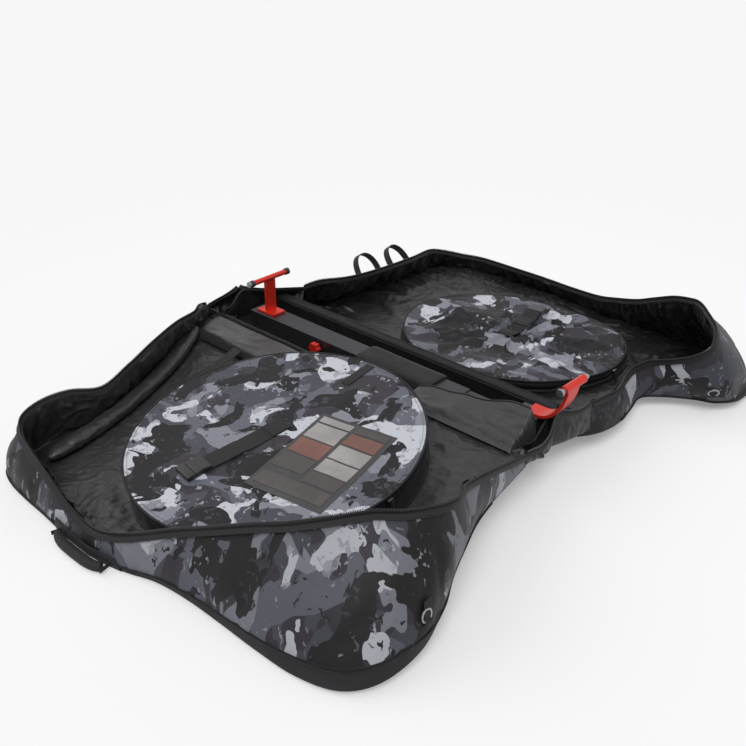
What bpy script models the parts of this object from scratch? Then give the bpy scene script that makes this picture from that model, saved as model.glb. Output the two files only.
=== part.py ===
"""Soft travel bag for a bicycle, opened flat on the floor.

The bag is a clamshell. A raised base runs down the middle, from the rear (-X) to the front (+X),
on four swivel castors. A half of the bag lies on each side of it: the near half towards -Y and
the far half towards +Y. Each half is a shallow tub with a fabric wall and holds a round wheel bag.
A telescopic rail on the base carries a rear axle mount and a front fork mount.
"""

import math

import bmesh
import bpy
from mathutils import Matrix, Vector

MM = 0.001

# The whole bag, opened flat
LENGTH = 1294 * MM
OPEN_WIDTH = 1800 * MM
RIM_HEIGHT = 265 * MM
GAP = 0.3 * MM
OVERRUN = 5 * MM

# The base pan under the bicycle
PAN_HALF_WIDTH = 100 * MM
PAN_REAR_INSET = 15 * MM
PAN_LENGTH = 1078 * MM
PAN_UNDERSIDE = 62.5 * MM
PAN_WALL = 4 * MM
PAN_SIDE_HEIGHT = 48 * MM
PAN_PEAK_HEIGHT = 37 * MM
PAN_PEAK_HALF_WIDTH = 60 * MM
PAN_CORNER = 40 * MM
PAN_CORNER_STEPS = 5
PAN_END_SHARES = (0.7, 0.35, 0.0, -0.35, -0.7)

# The two halves and their fabric hinge
PANEL = 4 * MM
PIPING_RADIUS = 4 * MM
HINGE_HEIGHT = 107 * MM
LIP_HEIGHT = 14 * MM
WALL_BULGE = 14 * MM
BULGE_FADE_ROWS = 3
SLOPE_STEP_ROWS = 0.5
FRAME_STEP_ROWS = 0.25
FRAME_STEP_SHARE = 0.05
WALL_RINGS = 4
STEPS_PER_ROW = 2
SKIN_CLAMP = 1
HINGE_STATIONS = 14
ZIP_RADIUS = 4.5 * MM

# The wheel bags. The near one is full and the far one lies slack and low.
NEAR_BAG_RADIUS = 340 * MM
NEAR_BAG_DEPTH = 70 * MM
NEAR_BAG_MARGIN = 8 * MM
FAR_BAG_RADIUS = 325 * MM
FAR_BAG_DEPTH = 30 * MM
FAR_BAG_MARGIN = 18 * MM
FAR_SHOULDER_DROP = 48 * MM
WHEEL_BAG_WALL = 4 * MM
WHEEL_BAG_FROM_REAR = 676 * MM
LID = 6 * MM
LID_HINGE_TURN = math.radians(15)
LID_SEGMENTS = 64
BAR_SEGMENTS = 24
ROUND_SEGMENTS = 32
WELD = 0.01 * MM
EDGE_DEGREES = 35
TUBE_DEGREES = 50
BEVEL_DEGREES = 40

# Zip sliders and their pulls
SLIDER_LENGTH = 16 * MM
SLIDER_WIDTH = 9 * MM
SLIDER_HEIGHT = 12 * MM
PULL_LENGTH = 44 * MM
PULL_DEPTH_SHARE = 0.7
PULL_WIDTH = 9 * MM
PULL_THICKNESS = 2 * MM
FRONT_SLIDER_ROW = 1
REAR_SLIDER_ROW = 1.5

# Straps, buckle and patch on a wheel bag's lid
WEBBING = 2 * MM
STRAP_WIDTH = 50 * MM
STRAP_LENGTH = 250 * MM
STRAP_TURN = math.radians(-8)
STRAP_INSET = 22 * MM
BUCKLE_LENGTH = 40 * MM
BUCKLE_WIDTH = 56 * MM
BUCKLE_HEIGHT = 11 * MM
PRONG_LENGTH = 22 * MM
PLUG_LENGTH = 22 * MM
MOUTH_WIDTH = 40 * MM
MOUTH_HEIGHT = 5.5 * MM
PRONG_PLAY = 1.2 * MM
PATCH = 0.8 * MM
PATCH_LENGTH = 280 * MM
PATCH_WIDTH = 205 * MM
PATCH_TURN = math.radians(8)
PATCH_INSET = 150 * MM
TAB_WIDTH = 25 * MM
TAB_LENGTH = 98 * MM
TAB_INSET = 237 * MM
BAND_WIDTH = 32 * MM
BAND_LENGTH = 205 * MM
BAND_FROM_REAR = 280 * MM
BAND_FROM_HINGE = 133 * MM

# Carrying handles and corner rings
HANDLE_RADIUS = 11 * MM
HANDLE_STANDOFF = 14 * MM
HANDLE_HALF_SPAN = 80 * MM
NEAR_HANDLE_TUCK = 1.5 * MM
FAR_HANDLE_TUCK = 8 * MM
NEAR_HANDLE_ROW_SHARE = 0.537
FAR_HANDLE_ROW_SHARE = 0.648
HANDLE_STEPS = 16
HANDLE_CURVE_POWER = 4
RING_RADIUS = 13 * MM
RING_WIRE = 2.2 * MM
RING_STANDOFF = 0.6 * MM
RING_STEPS = 16
RING_UP_SHARE = 0.25
NEAR_RING_ROW_SHARE = 0.2333
FAR_RING_ROW_SHARE = 0.2333
LOOP_WIDTH = 24 * MM
LOOP_REACH = 75 * MM
LOOP_HALF_SPAN = 50 * MM
LOOP_CURVE_POWER = 0.7
LOOP_STEPS = 12
LOOP_UP_SHARE = 0.8
REAR_LOOP_ROW_SHARE = 0.905
OUTER_LOOP_ROW_SHARE = 0.874
LOOP_STANDOFF = 1.2 * MM

# The telescopic rail
RAIL_WIDTH = 60 * MM
RAIL_HEIGHT = 52 * MM
RAIL_WALL = 3 * MM
RAIL_REAR_INSET = 70 * MM
RAIL_FRONT_INSET = 248 * MM
INNER_WALL = 2.5 * MM
INNER_REAR_INSET = 284 * MM
INNER_FRONT_INSET = 15 * MM
SLEEVE = 8 * MM
SLEEVE_LENGTH = 250 * MM
SLEEVE_FROM_REAR = 640 * MM
TIE_STRAP_WIDTH = 28 * MM
TIE_STRAP_LENGTH = 330 * MM
TIE_STRAP_FROM_REAR = 700 * MM
TIE_STRAP_OFFSET = 68 * MM

# The rear mount, at the bicycle's rear axle
REAR_AXLE_FROM_REAR = 140 * MM
REAR_AXLE_HEIGHT = 224 * MM
REAR_AXLE_WIDTH = 142 * MM
REAR_TUBE_RADIUS = 7.5 * MM
REAR_CAP_RADIUS = 9.5 * MM
REAR_CAP_LENGTH = 12 * MM
REAR_ROD_RADIUS = 4.5 * MM
REAR_FOOT_LENGTH = 70 * MM
REAR_FOOT_WIDTH = 46 * MM
REAR_FOOT = 6 * MM
REAR_POST_DEPTH = 10 * MM
REAR_POST_WIDTH = 34 * MM

# The fork mount, at the bicycle's front axle
FORK_AXLE_OVERHANG = 54 * MM
FORK_AXLE_HEIGHT = 258 * MM
FORK_TUBE_RADIUS = 10 * MM
FORK_TUBE_LENGTH = 78 * MM
FORK_ROD_RADIUS = 6 * MM
FORK_ROD_LENGTH = 104 * MM
BLADE = 7 * MM
BLADE_WIDTH = 43 * MM
BLADE_STEPS = 10
BLADE_REACH_POWER = 1.6
BLADE_RISE_POWER = 1.7
FOOT_LENGTH = 34 * MM
BLOCK_LENGTH = 66 * MM
BLOCK_HEIGHT = 36 * MM
BLOCK_WIDTH = 48 * MM

# Axle heads and the clamp knob on the rail
HEAD_LENGTH = 5 * MM
HEAD_RADIUS = 9 * MM
BORE_CLEARANCE = 0.4 * MM
KNOB_RADIUS = 16 * MM
KNOB_LENGTH = 15 * MM
KNOB_STEM_RADIUS = 6 * MM
KNOB_STEM_LENGTH = 6 * MM
KNOB_FROM_REAR = 365 * MM
KNOB_LOBES = 6
KNOB_LOBE_DEPTH = 1.8 * MM
KNOB_STEPS = 36

# The castors
CASTOR_WHEEL_RADIUS = 24 * MM
CASTOR_WHEEL_WIDTH = 20 * MM
CASTOR_TREAD_ROUND = 4 * MM
CASTOR_TRAIL = 12 * MM
CASTOR_PIN_RADIUS = 3 * MM
CASTOR_CHEEK = 3 * MM
CASTOR_FORK_LENGTH = 34 * MM
CASTOR_SIDE_PLAY = 0.6 * MM
CASTOR_LOW_ROUND = 6 * MM
CASTOR_LOW_STEPS = 5
CASTOR_TREAD_STEPS = 3
PIN_SEGMENTS = 16
CASTOR_BRIDGE = 4 * MM
CASTOR_CROWN_RADIUS = 13 * MM
CASTOR_CROWN = 4 * MM
CASTOR_PLATE = 2.5 * MM
CASTOR_PLATE_LENGTH = 46 * MM
CASTOR_PLATE_WIDTH = 38 * MM
CASTOR_HALF_TRACK = 72 * MM
REAR_CASTOR_INSET = 155 * MM
FRONT_CASTOR_INSET = 113 * MM

NEAR = -1
FAR = 1

# One row for each place round a half, from the front of the hinge round to its rear. The shares are:
# rim along the length, rim across, rim height, foot along the length, foot across.
NEAR_OUTLINE_SHARES = (
    (0.872, 0.152, 0.490, 0.872, 0.152),
    (0.880, 0.205, 0.560, 0.876, 0.205),
    (0.890, 0.311, 0.666, 0.882, 0.300),
    (0.902, 0.417, 0.770, 0.892, 0.383),
    (0.916, 0.489, 0.850, 0.910, 0.456),
    (0.937, 0.550, 0.905, 0.934, 0.544),
    (0.938, 0.622, 0.962, 0.966, 0.633),
    (0.920, 0.683, 0.990, 0.988, 0.733),
    (0.889, 0.733, 1.000, 0.982, 0.839),
    (0.850, 0.783, 0.943, 0.947, 0.906),
    (0.796, 0.820, 0.830, 0.881, 0.936),
    (0.734, 0.850, 0.717, 0.804, 0.942),
    (0.665, 0.880, 0.574, 0.726, 0.942),
    (0.603, 0.908, 0.453, 0.649, 0.944),
    (0.541, 0.942, 0.325, 0.580, 0.955),
    (0.487, 0.969, 0.234, 0.518, 0.982),
    (0.433, 0.978, 0.196, 0.440, 1.000),
    (0.371, 0.978, 0.272, 0.363, 0.998),
    (0.309, 0.969, 0.377, 0.294, 0.992),
    (0.247, 0.958, 0.453, 0.224, 0.988),
    (0.197, 0.942, 0.498, 0.166, 0.978),
    (0.166, 0.911, 0.547, 0.131, 0.950),
    (0.151, 0.844, 0.574, 0.120, 0.878),
    (0.152, 0.767, 0.566, 0.119, 0.778),
    (0.165, 0.678, 0.509, 0.122, 0.678),
    (0.156, 0.578, 0.596, 0.108, 0.578),
    (0.139, 0.478, 0.679, 0.085, 0.478),
    (0.100, 0.356, 0.679, 0.046, 0.356),
    (0.062, 0.250, 0.615, 0.015, 0.250),
    (0.027, 0.190, 0.570, 0.002, 0.188),
    (0.014, 0.148, 0.530, 0.000, 0.148),
)
FAR_OUTLINE_SHARES = (
    (0.866, 0.152, 0.545, 0.870, 0.152),
    (0.869, 0.195, 0.530, 0.880, 0.200),
    (0.867, 0.278, 0.490, 0.882, 0.278),
    (0.846, 0.372, 0.453, 0.869, 0.367),
    (0.840, 0.435, 0.453, 0.856, 0.460),
    (0.862, 0.473, 0.528, 0.889, 0.522),
    (0.903, 0.484, 0.604, 0.935, 0.572),
    (0.939, 0.500, 0.679, 0.974, 0.600),
    (0.961, 0.528, 0.774, 0.998, 0.656),
    (0.947, 0.589, 0.845, 1.000, 0.733),
    (0.904, 0.667, 0.849, 0.979, 0.800),
    (0.866, 0.733, 0.823, 0.935, 0.889),
    (0.835, 0.772, 0.774, 0.881, 0.944),
    (0.788, 0.802, 0.698, 0.819, 0.961),
    (0.734, 0.833, 0.566, 0.757, 0.967),
    (0.680, 0.872, 0.423, 0.696, 0.967),
    (0.618, 0.905, 0.310, 0.626, 0.967),
    (0.562, 0.922, 0.240, 0.564, 0.972),
    (0.487, 0.935, 0.215, 0.487, 0.985),
    (0.397, 0.938, 0.226, 0.394, 1.000),
    (0.308, 0.940, 0.226, 0.301, 0.998),
    (0.202, 0.950, 0.208, 0.201, 0.989),
    (0.144, 0.933, 0.208, 0.139, 0.978),
    (0.104, 0.878, 0.264, 0.085, 0.922),
    (0.090, 0.826, 0.302, 0.062, 0.844),
    (0.104, 0.733, 0.347, 0.062, 0.733),
    (0.121, 0.666, 0.396, 0.070, 0.644),
    (0.145, 0.467, 0.491, 0.070, 0.467),
    (0.152, 0.300, 0.566, 0.050, 0.300),
    (0.124, 0.200, 0.590, 0.012, 0.200),
    (0.108, 0.148, 0.560, 0.000, 0.148),
)

HINGE_Y = PAN_HALF_WIDTH + GAP + PIPING_RADIUS
HALF_OUTER = OPEN_WIDTH / 2
PAN_FLOOR = PAN_UNDERSIDE + PAN_WALL
RAIL_UNDERSIDE = PAN_FLOOR + GAP
RAIL_TOP = RAIL_UNDERSIDE + RAIL_HEIGHT
INNER_WIDTH = RAIL_WIDTH - 2 * RAIL_WALL - 2 * GAP
INNER_HEIGHT = RAIL_HEIGHT - 2 * RAIL_WALL - 2 * GAP
INNER_UNDERSIDE = RAIL_UNDERSIDE + RAIL_WALL + GAP
INNER_TOP = INNER_UNDERSIDE + INNER_HEIGHT
BLOCK_TOP = INNER_TOP + GAP + BLOCK_HEIGHT
FOOT_UNDERSIDE = BLOCK_TOP + GAP


def along(from_rear):
    """Gives the X of a place measured from the bag's rear end."""
    return from_rear - LENGTH / 2


PAN_REAR = along(PAN_REAR_INSET)
PAN_FRONT = PAN_REAR + PAN_LENGTH
RAIL_LENGTH = PAN_LENGTH - RAIL_REAR_INSET - RAIL_FRONT_INSET
INNER_LENGTH = PAN_LENGTH - INNER_REAR_INSET - PAN_WALL - INNER_FRONT_INSET
REAR_AXLE_X = along(REAR_AXLE_FROM_REAR)
FORK_AXLE_X = PAN_FRONT + FORK_AXLE_OVERHANG
INNER_FRONT = PAN_FRONT - PAN_WALL - INNER_FRONT_INSET

COLOURS = {
    "black_fabric": ((0.018, 0.018, 0.020), 0.75, 0.0),
    "printed_fabric": ((0.11, 0.11, 0.13), 0.6, 0.0),
    "webbing": ((0.02, 0.02, 0.022), 0.8, 0.0),
    "zip": ((0.012, 0.012, 0.013), 0.55, 0.0),
    "black_plastic": ((0.015, 0.015, 0.016), 0.45, 0.0),
    "patch": ((0.30, 0.30, 0.30), 0.5, 0.0),
    "dark_alloy": ((0.07, 0.07, 0.075), 0.4, 0.8),
    "red_alloy": ((0.55, 0.02, 0.015), 0.3, 0.7),
    "steel": ((0.35, 0.35, 0.36), 0.35, 1.0),
    "tyre": ((0.02, 0.02, 0.02), 0.85, 0.0),
}


def clear_scene():
    """Removes every object that the file opened with."""
    for item in list(bpy.data.objects):
        bpy.data.objects.remove(item, do_unlink=True)


clear_scene()
BAG = bpy.data.collections.new("bike_travel_bag")
CUTTERS = bpy.data.collections.new("cutters")
bpy.context.scene.collection.children.link(BAG)
bpy.context.scene.collection.children.link(CUTTERS)


def dress(item, finish):
    """Gives an object its own material."""
    colour, roughness, metallic = COLOURS[finish]
    material = bpy.data.materials.new(item.name)
    material.use_nodes = True
    shader = material.node_tree.nodes["Principled BSDF"]
    shader.inputs["Base Color"].default_value = (*colour, 1.0)
    shader.inputs["Roughness"].default_value = roughness
    shader.inputs["Metallic"].default_value = metallic
    item.data.materials.clear()
    item.data.materials.append(material)


def frame_at(name, location, parent=None, tilt=0.0, turn=0.0):
    """Makes an empty that carries other pieces, tilted about X and turned about Z."""
    empty = bpy.data.objects.new(name, None)
    empty.location = location
    empty.rotation_euler = (tilt, 0.0, turn)
    empty.parent = parent
    BAG.objects.link(empty)
    return empty


def add_mesh(name, mesh, finish, parent=None, location=(0, 0, 0), rotation=(0, 0, 0)):
    """Adds a finished piece from a mesh."""
    item = bpy.data.objects.new(name, mesh)
    BAG.objects.link(item)
    item.location = location
    item.rotation_euler = rotation
    item.parent = parent
    dress(item, finish)
    return item


def mesh_from(bm, name):
    """Turns a bmesh into a mesh with its faces pointing out."""
    bmesh.ops.recalc_face_normals(bm, faces=bm.faces)
    mesh = bpy.data.meshes.new(name)
    bm.to_mesh(mesh)
    bm.free()
    return mesh


def smooth(item, degrees=EDGE_DEGREES):
    """Shades a round piece smooth, with its edges kept sharp."""
    item.data.shade_smooth()
    item.data.set_sharp_from_angle(angle=math.radians(degrees))
    return item


def box_mesh(name, size, centre=(0, 0, 0)):
    """Makes a box of a size about a centre."""
    bm = bmesh.new()
    bmesh.ops.create_cube(bm, size=1)
    bmesh.ops.scale(bm, vec=size, verts=bm.verts)
    bmesh.ops.translate(bm, vec=centre, verts=bm.verts)
    return mesh_from(bm, name)


def rod_mesh(name, radius, length, axis, centre=(0, 0, 0), segments=BAR_SEGMENTS):
    """Makes a round bar along an axis."""
    bm = bmesh.new()
    turn = Vector((0, 0, 1)).rotation_difference(Vector(axis)).to_matrix().to_4x4()
    bmesh.ops.create_cone(bm, cap_ends=True, segments=segments, radius1=radius, radius2=radius,
                          depth=length, matrix=Matrix.Translation(centre) @ turn)
    return mesh_from(bm, name)


def cutter(name, mesh, parent=None, location=(0, 0, 0)):
    """Adds a shape that only cuts or joins others."""
    item = bpy.data.objects.new(name, mesh)
    item.location = location
    item.parent = parent
    item.hide_render = True
    item.display_type = "WIRE"
    CUTTERS.objects.link(item)
    return item


def combine(item, tool, operation="DIFFERENCE"):
    """Cuts a tool out of a piece or joins it on."""
    step = item.modifiers.new(operation.title(), "BOOLEAN")
    step.operation = operation
    step.solver = "EXACT"
    step.object = tool


def bevel(item, width, segments=1, angle=BEVEL_DEGREES):
    """Rounds a piece's sharp edges."""
    step = item.modifiers.new("Bevel", "BEVEL")
    step.width = width
    step.segments = segments
    step.limit_method = "ANGLE"
    step.angle_limit = math.radians(angle)


def turned(name, profile, finish, parent, location, rotation, segments=ROUND_SEGMENTS):
    """Turns a profile of radius and height pairs about its own axis."""
    bm = bmesh.new()
    points = [bm.verts.new((radius, 0, height)) for radius, height in profile]
    for first, second in zip(points, points[1:] + points[:1]):
        bm.edges.new((first, second))
    mesh = bpy.data.meshes.new(name)
    bm.to_mesh(mesh)
    bm.free()
    item = add_mesh(name, mesh, finish, parent, location, rotation)
    spin = item.modifiers.new("Screw", "SCREW")
    spin.steps = spin.render_steps = segments
    spin.use_merge_vertices = True
    spin.merge_threshold = WELD
    spin.use_normal_calculate = False
    return item


def outline_plate(name, points, thickness, finish, parent, location, rotation=(0, 0, 0)):
    """Makes a flat plate from an outline, half its thickness to each side."""
    curve = bpy.data.curves.new(name, "CURVE")
    curve.dimensions = "2D"
    curve.fill_mode = "BOTH"
    curve.extrude = thickness / 2
    line = curve.splines.new("POLY")
    line.points.add(len(points) - 1)
    for point, place in zip(line.points, points):
        point.co = (place[0], place[1], 0, 1)
    line.use_cyclic_u = True
    return solid_curve(name, curve, finish, parent, location, rotation)


def tube(name, points, radius, finish, parent=None, location=(0, 0, 0), closed=False, sides=2):
    """Makes a round tube along points."""
    curve = bpy.data.curves.new(name, "CURVE")
    curve.dimensions = "3D"
    curve.bevel_depth = radius
    curve.bevel_resolution = sides
    curve.use_fill_caps = not closed
    line = curve.splines.new("POLY")
    line.points.add(len(points) - 1)
    for point, place in zip(line.points, points):
        point.co = (*place, 1)
    line.use_cyclic_u = closed
    return smooth(solid_curve(name, curve, finish, parent, location), TUBE_DEGREES)


def solid_curve(name, curve, finish, parent, location, rotation=(0, 0, 0)):
    """Makes a curve's shape one welded mesh and adds it as a piece."""
    guide = bpy.data.objects.new(name + "_curve", curve)
    bpy.context.scene.collection.objects.link(guide)
    seen = guide.evaluated_get(bpy.context.evaluated_depsgraph_get())
    mesh = bpy.data.meshes.new_from_object(seen)
    bpy.data.objects.remove(guide, do_unlink=True)
    bm = bmesh.new()
    bm.from_mesh(mesh)
    bmesh.ops.remove_doubles(bm, verts=bm.verts, dist=WELD)
    return add_mesh(name, mesh_from(bm, name), finish, parent, location, rotation)


def arc(centre, radius, start, end, steps):
    """Gives the points of an arc, its ends included."""
    turns = [start + (end - start) * step / steps for step in range(steps + 1)]
    return [(centre[0] + radius * math.cos(turn), centre[1] + radius * math.sin(turn)) for turn in turns]


def smooth_between(rows, row, share):
    """Reads a smooth curve through rows of numbers, at a share of the way past one row."""
    before = rows[max(row - 1, 0)]
    first = rows[row]
    second = rows[min(row + 1, len(rows) - 1)]
    after = rows[min(row + 2, len(rows) - 1)]
    values = []
    for p0, p1, p2, p3 in zip(before, first, second, after):
        slope1 = (p2 - p0) / 2
        slope2 = (p3 - p1) / 2
        rise = p2 - p1
        square = (3 * rise - 2 * slope1 - slope2) * share**2
        cube = (slope1 + slope2 - 2 * rise) * share**3
        values.append(p1 + slope1 * share + square + cube)
    return values


class Half:
    """One half of the bag: its outline, and places on its wall and panel."""

    def __init__(self, name, side, rows, shoulder_drop):
        self.name = name
        self.side = side
        self.rows = rows
        self.count = (len(rows) - 1) * STEPS_PER_ROW + 1
        self.shoulder = HINGE_HEIGHT - PANEL / 2 - shoulder_drop
        self.hinge = frame_at(name + "_hinge", (0, side * HINGE_Y, HINGE_HEIGHT))
        tilt = math.atan(self.shoulder / (HALF_OUTER - HINGE_Y))
        self.panel = frame_at(name + "_panel", (0, 0, -shoulder_drop), self.hinge, tilt=-side * tilt)

    def stations(self, position):
        """Gives the rim and the foot at a position, counted in rows."""
        row = min(int(position), len(self.rows) - 2)
        rim_x, rim_y, rim_z, foot_x, foot_y = smooth_between(self.rows, row, position - row)
        rim = self.spot(rim_x, rim_y * HALF_OUTER, rim_z * RIM_HEIGHT)
        across = min(foot_y, 1.0) * HALF_OUTER
        foot = self.spot(min(max(foot_x, 0.0), 1.0), across, self.panel_height(across))
        return rim, foot

    def spot(self, length_share, across, height):
        """Gives a point of the bag from its place along, across and up."""
        return Vector((along(length_share * LENGTH), self.side * across, height))

    def panel_height(self, across):
        """Gives the underside of the sloping panel at a distance from the middle."""
        return self.shoulder * (HALF_OUTER - across) / (HALF_OUTER - HINGE_Y)

    def wall(self, position, up_share):
        """Gives a point on the outside of the fabric wall."""
        rim, foot = self.stations(position)
        ahead = self.stations(min(position + SLOPE_STEP_ROWS, len(self.rows) - 1))[1]
        behind = self.stations(max(position - SLOPE_STEP_ROWS, 0))[1]
        run = (ahead - behind).normalized()
        outward = Vector((run.y, -run.x, 0)) * self.side
        ends = min(position, len(self.rows) - 1 - position, BULGE_FADE_ROWS) / BULGE_FADE_ROWS
        bulge = WALL_BULGE * math.sin(math.pi * up_share) * ends * (rim - foot).length / RIM_HEIGHT * 2
        point = foot.lerp(rim, up_share) + outward * bulge
        limit_x = LENGTH / 2
        point.x = min(max(point.x, -limit_x), limit_x)
        point.y = min(max(point.y, -HALF_OUTER), HALF_OUTER)
        return point

    def positions(self):
        """Gives the places round the wall, counted in rows."""
        return [step / STEPS_PER_ROW for step in range(self.count)]


def shell_rings(half):
    """Gives the rings of points of a half's fabric, from the foot up to the rim."""
    inner = HINGE_Y + PIPING_RADIUS + GAP
    rings = []
    for ring in range(WALL_RINGS + 1):
        up_share = ring / WALL_RINGS
        points = [half.wall(position, up_share) for position in half.positions()]
        rear, front = points[-1].x, points[0].x
        for step in range(HINGE_STATIONS + 1):
            x = rear + (front - rear) * step / HINGE_STATIONS
            low = half.panel_height(inner)
            height = low + (HINGE_HEIGHT + LIP_HEIGHT - low) * up_share
            points.append(Vector((x, half.side * inner, height)))
        rings.append(points)
    return rings


def build_shell(half):
    """Lofts the fabric of a half: its flat panel and the wall that stands round it."""
    origin = half.hinge.location
    bm = bmesh.new()
    rings = [[bm.verts.new(point - origin) for point in ring] for ring in shell_rings(half)]
    count = len(rings[0])
    bm.faces.new(rings[0])
    for low, high in zip(rings, rings[1:]):
        for step in range(count):
            after = (step + 1) % count
            bm.faces.new((low[step], low[after], high[after], high[step]))
    bmesh.ops.recalc_face_normals(bm, faces=bm.faces)
    floor = max(bm.faces, key=lambda face: face.calc_area())
    if floor.normal.z > 0:
        bmesh.ops.reverse_faces(bm, faces=bm.faces)
    mesh = bpy.data.meshes.new(half.name + "_shell")
    bm.to_mesh(mesh)
    bm.free()
    item = add_mesh(half.name + "_shell", mesh, "printed_fabric", half.hinge)
    skin = item.modifiers.new("Solidify", "SOLIDIFY")
    skin.thickness = PANEL
    skin.offset = -1
    skin.use_even_offset = True
    skin.thickness_clamp = SKIN_CLAMP
    return smooth(item)


def build_piping(half):
    """Makes the round edge that the fabric folds about, along the base."""
    rear = along(PAN_REAR_INSET + PAN_CORNER)
    front = PAN_FRONT - PAN_CORNER
    mesh = rod_mesh(half.name + "_hinge_piping", PIPING_RADIUS, front - rear, (1, 0, 0),
                    ((front + rear) / 2, 0, 0), PIN_SEGMENTS)
    smooth(add_mesh(half.name + "_hinge_piping", mesh, "black_fabric", half.hinge))


def rim_line(half, first, last, lift):
    """Gives the middle of the wall's top edge, lifted clear of it."""
    points = []
    for position in half.positions():
        if position < first or position > last:
            continue
        top = half.wall(position, 1.0)
        below = half.wall(position, 1 - 1 / WALL_RINGS)
        ahead = half.wall(min(position + 1 / STEPS_PER_ROW, len(half.rows) - 1), 1.0)
        behind = half.wall(max(position - 1 / STEPS_PER_ROW, 0), 1.0)
        run = (ahead - behind).normalized()
        rise = top - below
        rise = (rise - run * rise.dot(run)).normalized()
        inward = run.cross(rise).normalized() * half.side
        points.append(top + inward * PANEL / 2 + rise * lift)
    return points


def build_rim_zip(half):
    """Runs the bound zip along the top of a half's wall."""
    points = rim_line(half, 0, len(half.rows) - 1, ZIP_RADIUS + GAP / 2)
    origin = half.hinge.location
    tube(half.name + "_rim_zip", [point - origin for point in points], ZIP_RADIUS, "zip", half.hinge)


class WheelBag:
    """The round wheel bag on a half's panel, in the panel's own tilted frame."""

    def __init__(self, half, radius, depth, margin):
        self.half = half
        self.radius = radius
        across = PIPING_RADIUS + GAP + margin + radius
        x = along(WHEEL_BAG_FROM_REAR)
        self.floor = PANEL / 2 + GAP
        place = (x, half.side * across, self.floor)
        self.frame = frame_at(half.name + "_wheel_bag_frame", place, half.panel)
        self.top = depth
        self.lid_top = self.top + GAP + LID
        turn = -half.side * LID_HINGE_TURN
        place = (radius * math.cos(turn), radius * math.sin(turn), self.top + GAP)
        self.lid_hinge = frame_at(half.name + "_lid_hinge", place, self.frame, turn=turn)

    def on_lid(self, item):
        """Hangs a piece that was placed from the bag's middle on the lid's hinge."""
        turn = self.lid_hinge.rotation_euler.z
        shift = Matrix.Translation(-self.lid_hinge.location)
        item.parent = self.lid_hinge
        item.matrix_basis = Matrix.Rotation(-turn, 4, "Z") @ shift @ item.matrix_basis
        return item


def build_wheel_bag(bag):
    """Turns the wheel bag's tub and its flat lid."""
    half = bag.half
    outer = bag.radius
    inner = outer - WHEEL_BAG_WALL
    profile = [(outer, bag.top), (outer, 0), (0, 0), (0, WHEEL_BAG_WALL), (inner, WHEEL_BAG_WALL),
               (inner, bag.top)]
    tub = open_turned(half.name + "_wheel_bag", profile, LID_SEGMENTS)
    smooth(add_mesh(half.name + "_wheel_bag", tub, "black_fabric", bag.frame))
    lid = rod_mesh(half.name + "_wheel_lid", outer, LID, (0, 0, 1), (0, 0, bag.top + GAP + LID / 2),
                   LID_SEGMENTS)
    smooth(bag.on_lid(add_mesh(half.name + "_wheel_lid", lid, "printed_fabric", bag.frame)))


def bored_mesh(name, radius, bore, length):
    """Turns a round bar along Z with a hole through it."""
    profile = [(bore, -length / 2), (radius, -length / 2), (radius, length / 2), (bore, length / 2)]
    return open_turned(name, profile, BAR_SEGMENTS)


def open_turned(name, profile, segments):
    """Spins an open profile whose ends lie apart into a closed tub."""
    bm = bmesh.new()
    points = [bm.verts.new((radius, 0, height)) for radius, height in profile]
    edges = [bm.edges.new(pair) for pair in zip(points, points[1:] + points[:1])
             if not (pair[0].co.x == 0 and pair[1].co.x == 0)]
    bmesh.ops.spin(bm, geom=points + edges, cent=(0, 0, 0), axis=(0, 0, 1), angle=2 * math.pi,
                   steps=segments, use_merge=True)
    bmesh.ops.remove_doubles(bm, verts=bm.verts, dist=WELD)
    return mesh_from(bm, name)


def build_lid_slider(bag):
    """Makes the wheel bag's zip slider, at its front edge, and the pull that hangs from it."""
    half = bag.half
    frame = frame_at(half.name + "_lid_slider_frame", (0, 0, bag.top - SLIDER_HEIGHT / 2), bag.frame)
    middle = bag.radius + GAP + SLIDER_WIDTH / 2
    length = min(PULL_LENGTH, bag.top * PULL_DEPTH_SHARE)
    mesh = box_mesh(half.name + "_lid_slider", (SLIDER_WIDTH, SLIDER_LENGTH, SLIDER_HEIGHT), (middle, 0, 0))
    bevel(add_mesh(half.name + "_lid_slider", mesh, "steel", frame), SLIDER_WIDTH / 5)
    pivot = (middle + SLIDER_WIDTH / 2 + GAP + PULL_THICKNESS / 2, 0, 0)
    pull_frame = frame_at(half.name + "_lid_pull_frame", pivot, frame)
    pull = box_mesh(half.name + "_lid_pull", (PULL_THICKNESS, PULL_WIDTH, length),
                    (0, 0, -length / 2))
    bevel(add_mesh(half.name + "_lid_pull", pull, "webbing", pull_frame), PULL_THICKNESS / 5)


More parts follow.
